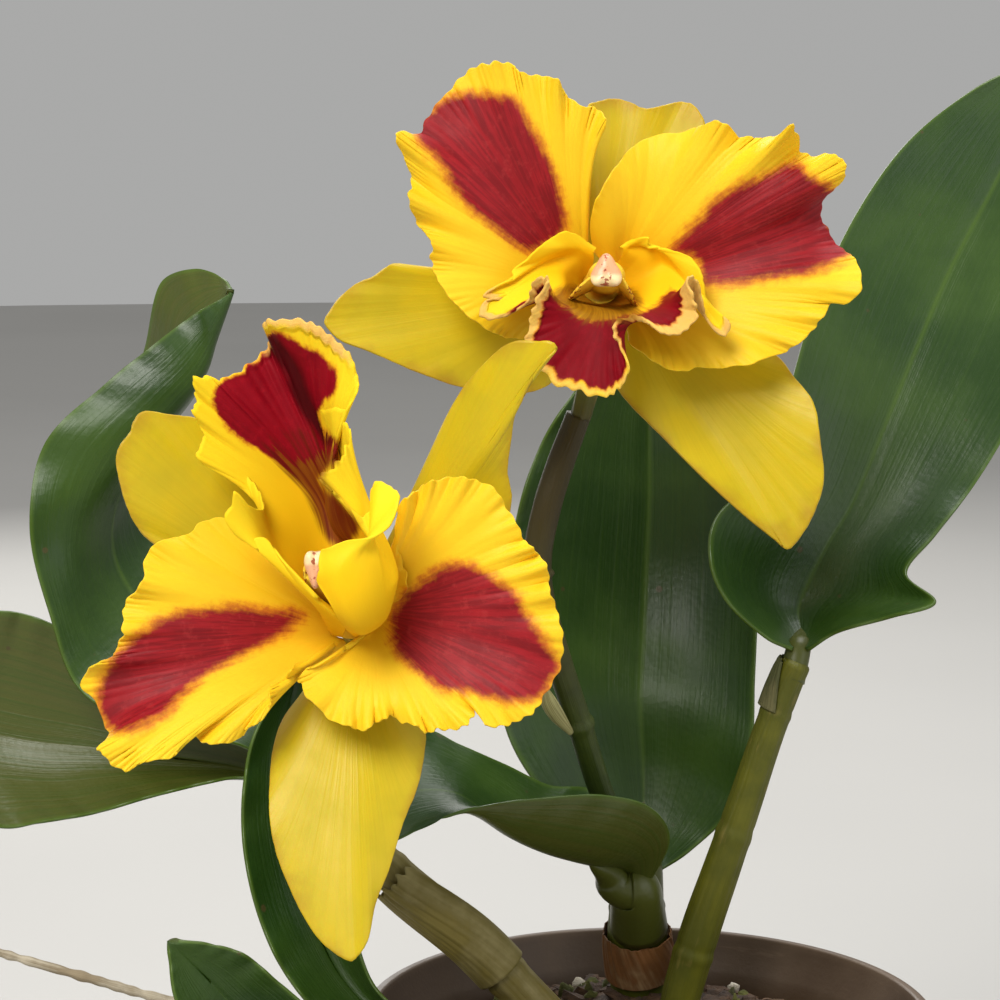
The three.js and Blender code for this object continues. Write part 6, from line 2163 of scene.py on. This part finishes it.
def main() -> None:
    """Builds the pot, the bark, the plant, the blooms and the studio, in that order."""
    logging.basicConfig(level=logging.INFO, format="%(message)s")
    bark = ChipFinish(
        "bark_chip", light=(0.16, 0.085, 0.04), mid=(0.075, 0.038, 0.018), dark=(0.018, 0.01, 0.006)
    ).build()
    grit = ChipFinish(
        "perlite", light=(0.8, 0.76, 0.66), mid=(0.62, 0.56, 0.45), dark=(0.36, 0.3, 0.21), rough=0.9
    ).build()
    moss = ChipFinish(
        "moss", light=(0.19, 0.19, 0.04), mid=(0.09, 0.1, 0.02), dark=(0.03, 0.028, 0.01), rough=0.95
    ).build()
    skins = {skin.kind: skin.build() for skin in SKINS}
    leaf_skin = LeafFinish().build()
    Pot().build(PotFinish().build())
    BarkBed().build(bark, grit, moss)
    for name, joints, seed, skin, paper, sheath in CANES:
        slot = "old_cane" if skin is Bark.OLD_CANE else "cane"
        Cane(name, STEMS[name], joints, seed, slot, sheath).build(skins[skin], skins[paper])
    LooseRoot(STEMS["root_loose"]).build(skins[Bark.ROOT])
    for k, (name, stations) in enumerate(LEAVES.items()):
        if name == "bract":
            Leaf(name, stations, 90, thickness=0.6, groove=0.1).build(BractFinish().build(), "dry_sheath")
        else:
            Leaf(name, stations, 60 + k, *LEAF_FEET[name]).build(leaf_skin)
    for shoot, skin in SHOOTS:
        shoot.build(skins[skin])
    caps = Cap((1.0, 2.8, 9.6), 1.0, 1.0, 1.5), Cap((-5.0, 4.6, 9.0), 0.66, -1.05, 1.4)
    blooms = [
        Bloom("upper", UPPER, UPPER_FANS, UPPER_LIP, COLUMNS["upper"], caps[0], UPPER_WINGS, 100),
        Bloom("lower", LOWER, LOWER_FANS, LOWER_LIP, COLUMNS["lower"], caps[1], LOWER_WINGS, 200),
    ]
    petal, sepal = PetalFinish("petal_velvet").build(), SepalFinish().build()
    lips = [
        LipFinish(
            # The upper lip's rust and streak colours are painted shade in the throat under the column.
            "upper_lip_velvet", red=(0.195, 0.001, 0.006), deep=(0.08, 0.001, 0.003),
            bright=(0.27, 0.003, 0.012), rust_and_throat_shade=(0.3, 0.12, 0.004), streak_and_throat_shade=(0.22, 0.085, 0.003),
        ).build(),
        LipFinish(
            "lower_lip_velvet", red=(0.24, 0.002, 0.009), rust_and_throat_shade=(0.15, 0.01, 0.003), drawn=6.0
        ).build(),
    ]
    column, anther = ColumnFinish().build(), AntherFinish().build()
    for bloom, lip in zip(blooms, lips):
        bloom.build_sepals(sepal)
        bloom.build_petals(petal)
        bloom.build_lip(lip)
        bloom.build_column(column)
        bloom.build_anther(anther)
    Studio().build()


if __name__ == "__main__":
    main()
